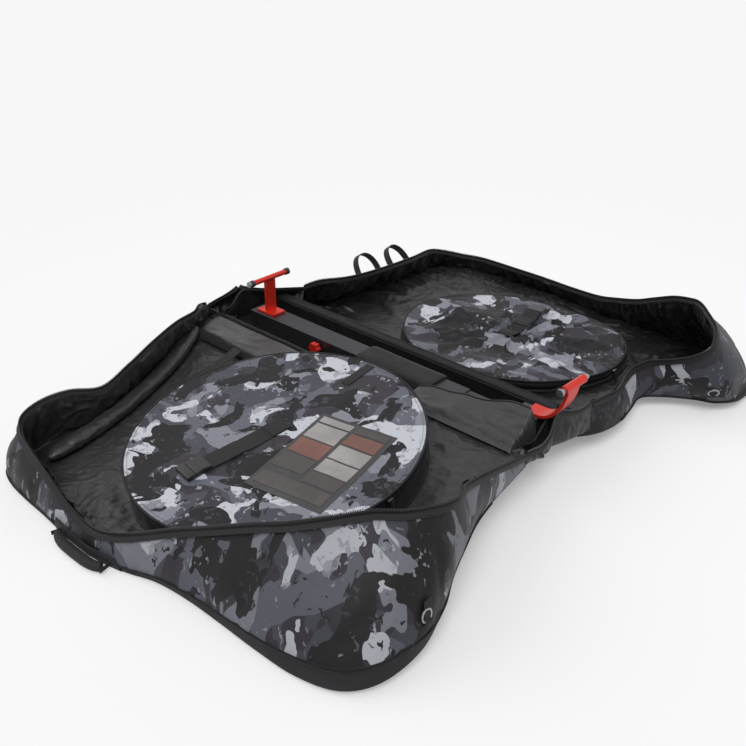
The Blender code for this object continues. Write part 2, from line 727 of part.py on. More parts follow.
def build_lid_strap(bag):
    """Lays the wide strap and its buckle over the wheel bag's lid."""
    half = bag.half
    side = half.side
    level = bag.lid_top + GAP + WEBBING / 2
    start = -side * STRAP_INSET * 2
    end = start + side * STRAP_LENGTH
    middle = (start + end) / 2
    frame = frame_at(half.name + "_strap_frame", (0, 0, level), bag.frame, turn=-side * STRAP_TURN)
    strap = box_mesh(half.name + "_lid_strap", (STRAP_WIDTH, STRAP_LENGTH, WEBBING),
                     (-STRAP_INSET, middle, 0))
    strap_item = add_mesh(half.name + "_lid_strap", strap, "webbing", bag.frame)
    rise = WEBBING / 2 + GAP + BUCKLE_HEIGHT / 2
    socket_y = end - side * BUCKLE_LENGTH / 2
    socket = add_mesh(half.name + "_buckle_socket",
                      box_mesh(half.name + "_buckle_socket", (BUCKLE_WIDTH, BUCKLE_LENGTH, BUCKLE_HEIGHT),
                               (-STRAP_INSET, socket_y, rise)), "black_plastic", bag.frame)
    mouth = box_mesh("buckle_mouth", (MOUTH_WIDTH, PRONG_LENGTH * 2, MOUTH_HEIGHT),
                     (-STRAP_INSET, end, rise))
    tool = cutter(half.name + "_buckle_mouth", mouth, bag.frame)
    prong = box_mesh("buckle_prong",
                     (MOUTH_WIDTH - PRONG_PLAY, PRONG_LENGTH, MOUTH_HEIGHT - PRONG_PLAY),
                     (-STRAP_INSET, end - side * (PRONG_LENGTH / 2 - PRONG_PLAY), rise))
    plug_y = end + side * (GAP + PLUG_LENGTH / 2)
    plug = add_mesh(half.name + "_buckle_plug",
                    box_mesh(half.name + "_buckle_plug", (BUCKLE_WIDTH, PLUG_LENGTH, BUCKLE_HEIGHT),
                             (-STRAP_INSET, plug_y, rise)), "black_plastic", bag.frame)
    prong_tool = cutter(half.name + "_buckle_prong", prong, bag.frame)
    for item in (strap_item, socket, plug, tool, prong_tool):
        spin_about(item, frame)
        bag.on_lid(item)
    combine(socket, tool)
    combine(plug, prong_tool, "UNION")
    bpy.data.objects.remove(frame)


def spin_about(item, frame):
    """Moves a piece of the wheel bag into a turned frame on the same bag."""
    item.matrix_basis = Matrix.Translation(frame.location) @ Matrix.Rotation(frame.rotation_euler.z, 4, "Z")


def build_patch(bag):
    """Lays the plain sewn patch on the wheel bag's lid."""
    mesh = box_mesh(bag.half.name + "_lid_patch", (PATCH_WIDTH, PATCH_LENGTH, PATCH), (0, 0, 0))
    item = add_mesh(bag.half.name + "_lid_patch", mesh, "patch", bag.frame)
    place = Matrix.Translation((PATCH_INSET, 0, bag.lid_top + GAP + PATCH / 2))
    item.matrix_basis = place @ Matrix.Rotation(-bag.half.side * PATCH_TURN, 4, "Z")
    bag.on_lid(item)


def wall_frame(half, name, position, up_share, standoff):
    """Makes an empty on the outside of the wall, its X along the wall, Y out of it and Z up it."""
    here = half.wall(position, up_share)
    run = half.wall(position + FRAME_STEP_ROWS, up_share) - half.wall(position - FRAME_STEP_ROWS, up_share)
    above = half.wall(position, up_share + FRAME_STEP_SHARE)
    rise = above - half.wall(position, up_share - FRAME_STEP_SHARE)
    out = run.cross(rise).normalized() * half.side
    run = run.normalized() * half.side
    frame = frame_at(name, here + out * standoff - half.hinge.location, half.hinge)
    frame.rotation_euler = Matrix((run, out, run.cross(out))).transposed().to_euler()
    return frame


def build_grab_handle(half, row_share, tuck):
    """Makes the padded carrying handle on the outer edge of a half."""
    across = half.side * (HALF_OUTER + HANDLE_RADIUS - tuck)
    position = row_share * (len(half.rows) - 1)
    centre = Vector((half.wall(position, 0).x, across, HANDLE_RADIUS + GAP))
    frame = frame_at(half.name + "_handle_frame", centre - half.hinge.location, half.hinge)
    points = []
    for step in range(HANDLE_STEPS + 1):
        share = 2 * step / HANDLE_STEPS - 1
        out = (HANDLE_STANDOFF + tuck) * (1 - share**HANDLE_CURVE_POWER)
        points.append((HANDLE_HALF_SPAN * share, half.side * out, 0))
    tube(half.name + "_grab_handle", points, HANDLE_RADIUS, "webbing", frame)


def build_corner_ring(half, row_share):
    """Makes the metal ring that hangs on the wall at the front corner of a half."""
    position = row_share * (len(half.rows) - 1)
    frame = wall_frame(half, half.name + "_ring_frame", position, RING_UP_SHARE, RING_WIRE + RING_STANDOFF)
    points = []
    for step in range(RING_STEPS):
        turn = 2 * math.pi * step / RING_STEPS
        points.append((RING_RADIUS * math.cos(turn), 0, RING_RADIUS * (math.sin(turn) - 1)))
    tube(half.name + "_corner_ring", points, RING_WIRE, "steel", frame, closed=True, sides=1)


def build_webbing_loop(half, name, row_share):
    """Makes a webbing loop that reaches out and up behind a half's rim."""
    position = row_share * (len(half.rows) - 1)
    frame = wall_frame(half, name + "_frame", position, LOOP_UP_SHARE, LOOP_STANDOFF)
    outer = loop_outline(LOOP_HALF_SPAN, LOOP_REACH)
    inner = loop_outline(LOOP_HALF_SPAN - WEBBING, LOOP_REACH - WEBBING)
    outline_plate(name, outer + inner[::-1], LOOP_WIDTH, "webbing", frame, (0, 0, 0))


def loop_outline(half_span, reach):
    """Gives the points of an arch from one foot to the other."""
    points = []
    for step in range(LOOP_STEPS + 1):
        turn = math.pi * step / LOOP_STEPS
        points.append((half_span * math.cos(turn), reach * math.sin(turn) ** LOOP_CURVE_POWER))
    return points


def build_lid_tab(bag):
    """Lays the narrow webbing tab at the hinge side of the wheel bag's lid."""
    side = bag.half.side
    middle = -side * (TAB_INSET + TAB_LENGTH / 2)
    mesh = box_mesh("near_lid_tab", (TAB_WIDTH, TAB_LENGTH, WEBBING))
    bag.on_lid(add_mesh("near_lid_tab", mesh, "webbing", bag.frame,
                        (-TAB_WIDTH / 2, middle, bag.lid_top + GAP + WEBBING / 2)))


def build_retaining_band(half):
    """Lays the webbing band that is sewn to the panel behind the wheel bag."""
    middle = half.side * (BAND_FROM_HINGE + BAND_LENGTH / 2)
    mesh = box_mesh("near_retaining_band", (BAND_WIDTH, BAND_LENGTH, WEBBING))
    add_mesh("near_retaining_band", mesh, "webbing", half.panel,
             (along(BAND_FROM_REAR), middle, PANEL / 2 + GAP + WEBBING / 2))


def build_half(half, bag, handle_row_share, handle_tuck, ring_row_share):
    """Builds what both halves of the bag carry."""
    build_shell(half)
    build_piping(half)
    build_rim_zip(half)
    build_wheel_bag(bag)
    build_lid_slider(bag)
    build_lid_strap(bag)
    build_grab_handle(half, handle_row_share, handle_tuck)
    build_corner_ring(half, ring_row_share)


def build_main_slider(half, name, position, run_sign):
    """Makes a slider of the bag's main zip, parked near an end of the rim, with its pull."""
    lift = 2 * ZIP_RADIUS + 2 * GAP + SLIDER_HEIGHT / 2
    spots = rim_line(half, position - 1 / STEPS_PER_ROW, position + 1 / STEPS_PER_ROW, lift)
    run = (spots[-1] - spots[0]).normalized() * run_sign
    rise = (half.wall(position, 1.0) - half.wall(position, 1 - 1 / WALL_RINGS)).normalized()
    rise = (rise - run * rise.dot(run)).normalized()
    frame = frame_at(name + "_frame", spots[1] - half.hinge.location, half.hinge)
    turn = Matrix((run, rise.cross(run), rise)).transposed()
    frame.rotation_euler = turn.to_euler()
    mesh = box_mesh(name, (SLIDER_LENGTH, SLIDER_WIDTH, SLIDER_HEIGHT))
    bevel(add_mesh(name, mesh, "steel", frame), SLIDER_WIDTH / 5)
    top = SLIDER_HEIGHT / 2 + GAP + PULL_THICKNESS / 2
    pull_frame = frame_at(name + "_pull_frame", (0, 0, top), frame)
    pull = box_mesh(name + "_pull", (PULL_LENGTH, PULL_WIDTH, PULL_THICKNESS),
                    (PULL_LENGTH / 2, 0, 0))
    bevel(add_mesh(name + "_pull", pull, "webbing", pull_frame), PULL_THICKNESS / 5)


def pan_outline():
    """Gives the base pan's rounded outline, with the height of its rim at each point."""
    inner_x = (PAN_LENGTH / 2 - PAN_CORNER, PAN_HALF_WIDTH - PAN_CORNER)
    middle = (PAN_REAR + PAN_FRONT) / 2
    corners = ((1, 1, 0), (-1, 1, 1), (-1, -1, 2), (1, -1, 3))
    points = []
    for sign_x, sign_y, quarter in corners:
        centre = (middle + sign_x * inner_x[0], sign_y * inner_x[1])
        points += arc(centre, PAN_CORNER, quarter * math.pi / 2, (quarter + 1) * math.pi / 2,
                      PAN_CORNER_STEPS)
        if quarter in (0, 2):
            continue
        for share in PAN_END_SHARES:
            points.append((middle + sign_x * PAN_LENGTH / 2, sign_y * inner_x[1] * share))
    return points


def pan_rim_height(x, y):
    """Gives the height of the pan's wall: low at the sides and peaked at the middle of each end."""
    at_end = abs(x - (PAN_REAR + PAN_FRONT) / 2) > PAN_LENGTH / 2 - PAN_CORNER
    if not at_end or abs(y) > PAN_PEAK_HALF_WIDTH:
        return PAN_SIDE_HEIGHT
    return PAN_SIDE_HEIGHT + PAN_PEAK_HEIGHT * math.cos(math.pi * y / (2 * PAN_PEAK_HALF_WIDTH)) ** 2


def build_pan():
    """Lofts the fabric-covered pan that the bicycle stands in."""
    bm = bmesh.new()
    outline = pan_outline()
    low = [bm.verts.new((x, y, PAN_UNDERSIDE)) for x, y in outline]
    high = [bm.verts.new((x, y, PAN_UNDERSIDE + pan_rim_height(x, y))) for x, y in outline]
    bm.faces.new(low)
    for step in range(len(low)):
        after = (step + 1) % len(low)
        bm.faces.new((low[step], low[after], high[after], high[step]))
    bmesh.ops.recalc_face_normals(bm, faces=bm.faces)
    floor = max(bm.faces, key=lambda face: face.calc_area())
    if floor.normal.z > 0:
        bmesh.ops.reverse_faces(bm, faces=bm.faces)
    mesh = bpy.data.meshes.new("base_pan")
    bm.to_mesh(mesh)
    bm.free()
    item = add_mesh("base_pan", mesh, "black_fabric")
    skin = item.modifiers.new("Solidify", "SOLIDIFY")
    skin.thickness = PAN_WALL
    skin.offset = -1
    skin.use_even_offset = True
    smooth(item)


def build_rail():
    """Makes the rail's outer tube, open at both ends."""
    middle = PAN_REAR + RAIL_REAR_INSET + RAIL_LENGTH / 2
    centre = (middle, 0, RAIL_UNDERSIDE + RAIL_HEIGHT / 2)
    rail = add_mesh("outer_rail", box_mesh("outer_rail", (RAIL_LENGTH, RAIL_WIDTH, RAIL_HEIGHT)),
                    "dark_alloy", None, centre)
    hollow = (RAIL_LENGTH + OVERRUN, RAIL_WIDTH - 2 * RAIL_WALL, RAIL_HEIGHT - 2 * RAIL_WALL)
    bevel(rail, RAIL_WALL / 2)
    combine(rail, cutter("outer_rail_hollow", box_mesh("outer_rail_hollow", hollow), None, centre))
    place = (along(SLEEVE_FROM_REAR), 0, RAIL_TOP + GAP + SLEEVE / 2)
    size = (SLEEVE_LENGTH, RAIL_WIDTH + 2 * SLEEVE + 2 * GAP, RAIL_HEIGHT / 2 + GAP + SLEEVE)
    sleeve = add_mesh("rail_sleeve", box_mesh("rail_sleeve", size, (0, 0, SLEEVE / 2 - size[2] / 2)),
                      "black_fabric", None, place)
    bevel(sleeve, SLEEVE / 2, 2)
    slot = (SLEEVE_LENGTH + OVERRUN, RAIL_WIDTH + 2 * GAP, size[2])
    combine(sleeve, cutter("rail_sleeve_slot",
                           box_mesh("rail_sleeve_slot", slot, (0, 0, -SLEEVE / 2 - size[2] / 2)), sleeve))


def build_tie_straps():
    """Lays the two straps that tie the bicycle down along the pan, one on each side of the rail."""
    for name, side in (("near_tie_strap", NEAR), ("far_tie_strap", FAR)):
        mesh = box_mesh(name, (TIE_STRAP_LENGTH, TIE_STRAP_WIDTH, WEBBING))
        place = (along(TIE_STRAP_FROM_REAR), side * TIE_STRAP_OFFSET, PAN_FLOOR + GAP + WEBBING / 2)
        add_mesh(name, mesh, "webbing", None, place)


def build_knob():
    """Makes the lobed knob that clamps the rail at its length."""
    y = -RAIL_WIDTH / 2 - GAP
    lobes = []
    for step in range(KNOB_STEPS):
        turn = 2 * math.pi * step / KNOB_STEPS
        radius = KNOB_RADIUS + KNOB_LOBE_DEPTH * math.cos(KNOB_LOBES * turn)
        lobes.append((radius * math.cos(turn), radius * math.sin(turn)))
    place = (along(KNOB_FROM_REAR), y - KNOB_STEM_LENGTH, RAIL_UNDERSIDE + RAIL_HEIGHT / 2)
    item = outline_plate("rail_clamp_knob", lobes, KNOB_LENGTH, "red_alloy", None,
                         (place[0], place[1] - KNOB_LENGTH / 2, place[2]), (math.pi / 2, 0, 0))
    stem = rod_mesh("knob_stem", KNOB_STEM_RADIUS, KNOB_STEM_LENGTH + KNOB_LENGTH / 2, (0, 0, 1),
                    (0, 0, -KNOB_STEM_LENGTH / 2 - KNOB_LENGTH / 4))
    combine(item, cutter("knob_stem", stem, item), "UNION")
    smooth(item)


def round_post(points, width, name, finish, location, parent=None):
    """Makes a plate that stands along X, from an outline of X and height."""
    return outline_plate(name, points, width, finish, parent, location, (math.pi / 2, 0, 0))


def build_rear_mount():
    """Makes the post, cross tube, caps and axle that hold the bicycle's rear end."""
    rise = REAR_AXLE_HEIGHT - RAIL_TOP - GAP
    foot = box_mesh("rear_mount", (REAR_FOOT_LENGTH, REAR_FOOT_WIDTH, REAR_FOOT),
                    (0, 0, -rise + REAR_FOOT / 2))
    place = (REAR_AXLE_X, 0, REAR_AXLE_HEIGHT)
    mount = add_mesh("rear_mount", foot, "red_alloy", None, place)
    bore = REAR_ROD_RADIUS + BORE_CLEARANCE
    post_top = -(REAR_TUBE_RADIUS + bore) / 2
    post_foot = -rise + REAR_FOOT / 2
    post = box_mesh("rear_post", (REAR_POST_DEPTH, REAR_POST_WIDTH, post_top - post_foot),
                    (0, 0, (post_top + post_foot) / 2))
    combine(mount, cutter("rear_post", post, mount), "UNION")
    tube_length = REAR_AXLE_WIDTH - 2 * REAR_CAP_LENGTH - 2 * GAP
    barrel = bored_mesh("rear_barrel", REAR_TUBE_RADIUS, bore, tube_length)
    barrel.transform(Matrix.Rotation(math.pi / 2, 4, "X"))
    combine(mount, cutter("rear_barrel", barrel, mount), "UNION")
    for name, side in (("rear_near_cap", NEAR), ("rear_far_cap", FAR)):
        y = side * (REAR_AXLE_WIDTH / 2 - REAR_CAP_LENGTH / 2)
        smooth(add_mesh(name, bored_mesh(name, REAR_CAP_RADIUS, bore, REAR_CAP_LENGTH), "black_plastic",
                        None, (REAR_AXLE_X, y, REAR_AXLE_HEIGHT), (math.pi / 2, 0, 0)))
    build_axle("rear_axle", place, REAR_ROD_RADIUS, REAR_AXLE_WIDTH, None)


def build_axle(name, place, radius, length, parent):
    """Makes an axle rod with a round head on the near side."""
    head_y = -length / 2 - GAP - HEAD_LENGTH / 2
    rod = add_mesh(name, rod_mesh(name, HEAD_RADIUS, HEAD_LENGTH, (0, 1, 0), (0, head_y, 0)),
                   "steel", parent, place)
    shank = rod_mesh(name + "_shank", radius, length + GAP + HEAD_LENGTH / 2, (0, 1, 0),
                     (0, -GAP / 2 - HEAD_LENGTH / 4, 0))
    combine(rod, cutter(name + "_shank", shank, rod), "UNION")
    smooth(rod)


def blade_points():
    """Gives the side outline of the fork mount's bent blade, from its foot up to the axle."""
    rise = FORK_AXLE_HEIGHT - FOOT_UNDERSIDE - BLADE / 2
    run = FORK_AXLE_X - INNER_FRONT
    centre_line = []
    for step in range(BLADE_STEPS + 1):
        share = step / BLADE_STEPS
        x = -run + run * (1 - (1 - share) ** BLADE_REACH_POWER)
        z = -rise + rise * share**BLADE_RISE_POWER
        centre_line.append(Vector((x, z)))
    last = (centre_line[-1] - centre_line[-2]).normalized()
    centre_line[-1] -= last * (FORK_TUBE_RADIUS + FORK_ROD_RADIUS) / 2
    start = Vector((-run - FOOT_LENGTH, -rise))
    centre_line.insert(0, start)
    over, under = [], []
    for step, point in enumerate(centre_line):
        ahead = centre_line[min(step + 1, len(centre_line) - 1)]
        behind = centre_line[max(step - 1, 0)]
        run_way = (ahead - behind).normalized()
        side_way = Vector((-run_way.y, run_way.x)) * BLADE / 2
        over.append(tuple(point + side_way))
        under.append(tuple(point - side_way))
    return over + under[::-1]


def build_front_mount():
    """Makes the sliding part of the rail with the block and the red fork mount on it."""
    frame = frame_at("front_mount_frame", (0, 0, 0))
    middle = INNER_FRONT - INNER_LENGTH / 2
    centre = (middle, 0, INNER_UNDERSIDE + INNER_HEIGHT / 2)
    rail = add_mesh("inner_rail", box_mesh("inner_rail", (INNER_LENGTH, INNER_WIDTH, INNER_HEIGHT)),
                    "dark_alloy", frame, centre)
    hollow = (INNER_LENGTH + OVERRUN, INNER_WIDTH - 2 * INNER_WALL, INNER_HEIGHT - 2 * INNER_WALL)
    tool = cutter("inner_rail_hollow", box_mesh("inner_rail_hollow", hollow), frame, centre)
    combine(rail, tool)
    block = box_mesh("mount_block", (BLOCK_LENGTH, BLOCK_WIDTH, BLOCK_HEIGHT))
    place = (INNER_FRONT - BLOCK_LENGTH / 2, 0, INNER_TOP + GAP + BLOCK_HEIGHT / 2)
    bevel(add_mesh("mount_block", block, "black_plastic", frame, place), BLOCK_HEIGHT / 10)
    axle = (FORK_AXLE_X, 0, FORK_AXLE_HEIGHT)
    mount = round_post(blade_points(), BLADE_WIDTH, "fork_mount", "red_alloy", axle, frame)
    bore = FORK_ROD_RADIUS + BORE_CLEARANCE
    barrel = bored_mesh("fork_barrel", FORK_TUBE_RADIUS, bore, FORK_TUBE_LENGTH)
    combine(mount, cutter("fork_barrel", barrel, mount), "UNION")
    build_axle("fork_axle", axle, FORK_ROD_RADIUS, FORK_ROD_LENGTH, frame)


def castor_fork_mesh():
    """Makes a castor's fork: side outline, slot for the wheel, pin and crown."""
    axle_z = CASTOR_WHEEL_RADIUS
    top = PAN_UNDERSIDE - GAP - CASTOR_PLATE - GAP - CASTOR_CROWN
    width = CASTOR_WHEEL_WIDTH + 2 * CASTOR_SIDE_PLAY + 2 * CASTOR_CHEEK
    low = arc((-CASTOR_TRAIL, axle_z), CASTOR_LOW_ROUND, math.pi, 2 * math.pi, CASTOR_LOW_STEPS)
    front = CASTOR_CROWN_RADIUS + GAP
    rear = -CASTOR_FORK_LENGTH / 2 - CASTOR_TRAIL / 2
    shoulder = top - CASTOR_BRIDGE / 2
    points = low + [(front, shoulder), (front, top), (rear, top), (rear, shoulder)]
    body = outline_plate("castor_fork_body", points, width, "dark_alloy", None, (0, 0, 0),
                         (math.pi / 2, 0, 0))
    slot_height = top - CASTOR_BRIDGE
    slot_length = 2 * (CASTOR_FORK_LENGTH + CASTOR_TRAIL)
    slot = box_mesh("castor_slot", (slot_length, width - 2 * CASTOR_CHEEK, slot_height),
                    (0, 0, slot_height / 2))
    pin = rod_mesh("castor_pin", CASTOR_PIN_RADIUS, width + CASTOR_CHEEK, (0, 1, 0),
                   (-CASTOR_TRAIL, 0, axle_z), PIN_SEGMENTS)
    crown = rod_mesh("castor_crown", CASTOR_CROWN_RADIUS, CASTOR_CROWN + CASTOR_BRIDGE / 2, (0, 0, 1),
                     (0, 0, top + CASTOR_CROWN / 2 - CASTOR_BRIDGE / 4))
    tools = [cutter("castor_slot", slot), cutter("castor_pin", pin), cutter("castor_crown", crown)]
    for tool, operation in zip(tools, ("DIFFERENCE", "UNION", "UNION")):
        combine(body, tool, operation)
    bpy.context.view_layer.update()
    seen = body.evaluated_get(bpy.context.evaluated_depsgraph_get())
    mesh = bpy.data.meshes.new_from_object(seen)
    mesh.transform(body.matrix_world)
    for item in tools + [body]:
        bpy.data.objects.remove(item, do_unlink=True)
    return mesh


def build_castor(name, x, y, fork_mesh):
    """Makes one castor under the pan: plate, swivelling fork and wheel."""
    plate_z = PAN_UNDERSIDE - GAP - CASTOR_PLATE / 2
    plate = box_mesh(name + "_plate", (CASTOR_PLATE_LENGTH, CASTOR_PLATE_WIDTH, CASTOR_PLATE))
    add_mesh(name + "_plate", plate, "steel", None, (x, y, plate_z))
    swivel = frame_at(name + "_swivel", (x, y, 0))
    smooth(add_mesh(name + "_fork", fork_mesh.copy(), "dark_alloy", swivel))
    half_width = CASTOR_WHEEL_WIDTH / 2
    bore = CASTOR_PIN_RADIUS + BORE_CLEARANCE
    tread = arc((CASTOR_WHEEL_RADIUS - CASTOR_TREAD_ROUND, half_width - CASTOR_TREAD_ROUND),
                CASTOR_TREAD_ROUND, math.pi / 2, 0, CASTOR_TREAD_STEPS)
    mirrored = [(radius, -height) for radius, height in reversed(tread)]
    profile = [(bore, half_width)] + tread + mirrored + [(bore, -half_width)]
    wheel = turned(name + "_wheel", profile, "tyre", swivel, (-CASTOR_TRAIL, 0, CASTOR_WHEEL_RADIUS),
                   (math.pi / 2, 0, 0))
    smooth(wheel)


def build_castors():
    """Sets a castor under each corner of the base."""
    fork_mesh = castor_fork_mesh()
    for end, x in (("rear", PAN_REAR + REAR_CASTOR_INSET), ("front", PAN_FRONT - FRONT_CASTOR_INSET)):
        for flank, side in (("near", NEAR), ("far", FAR)):
            build_castor(f"{end}_{flank}_castor", x, side * CASTOR_HALF_TRACK, fork_mesh)


def build():
    """Builds the whole bag."""
    build_pan()
    build_rail()
    build_tie_straps()
    build_knob()
    build_rear_mount()
    build_front_mount()
    build_castors()
    near = Half("near", NEAR, NEAR_OUTLINE_SHARES, 0)
    near_bag = WheelBag(near, NEAR_BAG_RADIUS, NEAR_BAG_DEPTH, NEAR_BAG_MARGIN)
    build_half(near, near_bag, NEAR_HANDLE_ROW_SHARE, NEAR_HANDLE_TUCK, NEAR_RING_ROW_SHARE)
    build_patch(near_bag)
    build_lid_tab(near_bag)
    build_retaining_band(near)
    build_main_slider(near, "front_zip_slider", FRONT_SLIDER_ROW, 1)
    build_main_slider(near, "rear_zip_slider", len(near.rows) - 1 - REAR_SLIDER_ROW, -1)
    far = Half("far", FAR, FAR_OUTLINE_SHARES, FAR_SHOULDER_DROP)
    far_bag = WheelBag(far, FAR_BAG_RADIUS, FAR_BAG_DEPTH, FAR_BAG_MARGIN)
    build_half(far, far_bag, FAR_HANDLE_ROW_SHARE, FAR_HANDLE_TUCK, FAR_RING_ROW_SHARE)
    build_webbing_loop(far, "far_rear_loop", REAR_LOOP_ROW_SHARE)
    build_webbing_loop(far, "far_outer_loop", OUTER_LOOP_ROW_SHARE)


build()
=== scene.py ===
"""Looks of a soft travel bag for a bicycle, opened flat on a pale floor."""
import logging
import math
from dataclasses import dataclass
from enum import Enum
from typing import Callable, Optional, Sequence

import bpy
import numpy as np
from mathutils import Matrix, Vector, noise
from mathutils.kdtree import KDTree


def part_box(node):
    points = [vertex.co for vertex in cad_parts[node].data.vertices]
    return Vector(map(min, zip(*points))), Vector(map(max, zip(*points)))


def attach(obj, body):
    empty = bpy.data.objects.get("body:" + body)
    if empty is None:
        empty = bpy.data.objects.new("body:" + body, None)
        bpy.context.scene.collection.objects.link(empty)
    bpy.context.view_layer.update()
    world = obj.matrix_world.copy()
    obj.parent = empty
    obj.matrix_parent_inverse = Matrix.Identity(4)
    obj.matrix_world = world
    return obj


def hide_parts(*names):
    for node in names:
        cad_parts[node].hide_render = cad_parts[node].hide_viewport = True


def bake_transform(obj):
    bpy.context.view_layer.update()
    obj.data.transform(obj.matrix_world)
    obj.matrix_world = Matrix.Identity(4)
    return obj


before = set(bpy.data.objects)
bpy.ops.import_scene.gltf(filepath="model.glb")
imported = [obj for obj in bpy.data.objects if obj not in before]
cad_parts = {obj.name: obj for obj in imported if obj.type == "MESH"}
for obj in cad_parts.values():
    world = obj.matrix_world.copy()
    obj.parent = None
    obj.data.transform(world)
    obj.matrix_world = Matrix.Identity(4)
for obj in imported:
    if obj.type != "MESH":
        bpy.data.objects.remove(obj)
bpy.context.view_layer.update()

logging.basicConfig(level=logging.INFO, format="%(message)s")
LOG = logging.getLogger("travel_bag")

Points = np.ndarray
Item = bpy.types.Object
Material = bpy.types.Material
Socket = bpy.types.NodeSocket

LENGTH = 1.294
HALF_OUTER = 0.9
RIM_HEIGHT = 0.265
HINGE_Y = 0.1043
HINGE_HEIGHT = 0.107
HINGE_INNER = 0.1086
LIP_TOP = 0.121
PANEL = 0.004
WALL_BULGE = 0.014
BAG_X = 0.029
PAN_REAR, PAN_FRONT = -0.632, 0.446
PAN_HALF_WIDTH = 0.1
PAN_UNDERSIDE = 0.0625
PAN_SIDE_TOP = 0.1105
PAN_PEAK = 0.037
RAIL_TOP = 0.1188
UP = (0.0, 0.0, 1.0)
ACROSS = (0.0, 1.0, 0.0)
CLOTH_SKIN = 0.0015
HINGE_SKIN = 0.0012
WEB_THICK = 0.0019
LOWEST = 0.001
MERGE = 0.000005
SMALL = 1e-9
LID_TURN = 8.0
BEAD_GAP = 3
STITCH = (0.62, 0.0009, 0.0006)

NEAR_OUTLINE = (
    (0.872, 0.152, 0.490, 0.872, 0.152), (0.880, 0.205, 0.560, 0.876, 0.205),
    (0.890, 0.311, 0.666, 0.882, 0.300), (0.902, 0.417, 0.770, 0.892, 0.383),
    (0.916, 0.489, 0.850, 0.910, 0.456), (0.937, 0.550, 0.905, 0.934, 0.544),
    (0.938, 0.622, 0.962, 0.966, 0.633), (0.920, 0.683, 0.990, 0.988, 0.733),
    (0.889, 0.733, 1.000, 0.982, 0.839), (0.850, 0.783, 0.943, 0.947, 0.906),
    (0.796, 0.820, 0.830, 0.881, 0.936), (0.734, 0.850, 0.717, 0.804, 0.942),
    (0.665, 0.880, 0.574, 0.726, 0.942), (0.603, 0.908, 0.453, 0.649, 0.944),
    (0.541, 0.942, 0.325, 0.580, 0.955), (0.487, 0.969, 0.234, 0.518, 0.982),
    (0.433, 0.978, 0.196, 0.440, 1.000), (0.371, 0.978, 0.272, 0.363, 0.998),
    (0.309, 0.969, 0.377, 0.294, 0.992), (0.247, 0.958, 0.453, 0.224, 0.988),
    (0.197, 0.942, 0.498, 0.166, 0.978), (0.166, 0.911, 0.547, 0.131, 0.950),
    (0.151, 0.844, 0.574, 0.120, 0.878), (0.152, 0.767, 0.566, 0.119, 0.778),
    (0.165, 0.678, 0.509, 0.122, 0.678), (0.156, 0.578, 0.596, 0.108, 0.578),
    (0.139, 0.478, 0.679, 0.085, 0.478), (0.100, 0.356, 0.679, 0.046, 0.356),
    (0.062, 0.250, 0.615, 0.015, 0.250), (0.027, 0.190, 0.570, 0.002, 0.188),
    (0.014, 0.148, 0.530, 0.000, 0.148),
)
FAR_OUTLINE = (
    (0.866, 0.152, 0.545, 0.870, 0.152), (0.869, 0.195, 0.530, 0.880, 0.200),
    (0.867, 0.278, 0.490, 0.882, 0.278), (0.846, 0.372, 0.453, 0.869, 0.367),
    (0.840, 0.435, 0.453, 0.856, 0.460), (0.862, 0.473, 0.528, 0.889, 0.522),
    (0.903, 0.484, 0.604, 0.935, 0.572), (0.939, 0.500, 0.679, 0.974, 0.600),
    (0.961, 0.528, 0.774, 0.998, 0.656), (0.947, 0.589, 0.845, 1.000, 0.733),
    (0.904, 0.667, 0.849, 0.979, 0.800), (0.866, 0.733, 0.823, 0.935, 0.889),
    (0.835, 0.772, 0.774, 0.881, 0.944), (0.788, 0.802, 0.698, 0.819, 0.961),
    (0.734, 0.833, 0.566, 0.757, 0.967), (0.680, 0.872, 0.423, 0.696, 0.967),
    (0.618, 0.905, 0.310, 0.626, 0.967), (0.562, 0.922, 0.240, 0.564, 0.972),
    (0.487, 0.935, 0.215, 0.487, 0.985), (0.397, 0.938, 0.226, 0.394, 1.000),
    (0.308, 0.940, 0.226, 0.301, 0.998), (0.202, 0.950, 0.208, 0.201, 0.989),
    (0.144, 0.933, 0.208, 0.139, 0.978), (0.104, 0.878, 0.264, 0.085, 0.922),
    (0.090, 0.826, 0.302, 0.062, 0.844), (0.104, 0.733, 0.347, 0.062, 0.733),
    (0.121, 0.666, 0.396, 0.070, 0.644), (0.145, 0.467, 0.491, 0.070, 0.467),
    (0.152, 0.300, 0.566, 0.050, 0.300), (0.124, 0.200, 0.590, 0.012, 0.200),
    (0.108, 0.148, 0.560, 0.000, 0.148),
)


class Side(Enum):
    """The two halves of the bag."""

    NEAR = -1
    FAR = 1


@dataclass(frozen=True)
class Finish:
    """The plain values of a material before its detail is added."""

    colour: tuple[float, float, float]
    roughness: float
    metallic: float = 0.0
    sheen: float = 0.0
    specular: float = 0.5


@dataclass(frozen=True)
class WheelBagSizes:
    """Sizes of a round wheel bag, in metres."""

    radius: float
    depth: float
    margin: float
    slack: float


@dataclass(frozen=True)
class HalfSizes:
    """Outline and sizes of one half of the bag."""

    side: Side
    outline: tuple
    shoulder_drop: float
    wheel_bag: WheelBagSizes
    seam_share: float

    @property
    def name(self) -> str:
        """Gives the half's name as the bodies use it."""
        return self.side.name.lower()


NEAR_HALF = HalfSizes(Side.NEAR, NEAR_OUTLINE, 0.0, WheelBagSizes(0.340, 0.070, 0.008, 0.0), 0.13)
FAR_HALF = HalfSizes(Side.FAR, FAR_OUTLINE, 0.048, WheelBagSizes(0.325, 0.030, 0.018, 1.0), 0.1)


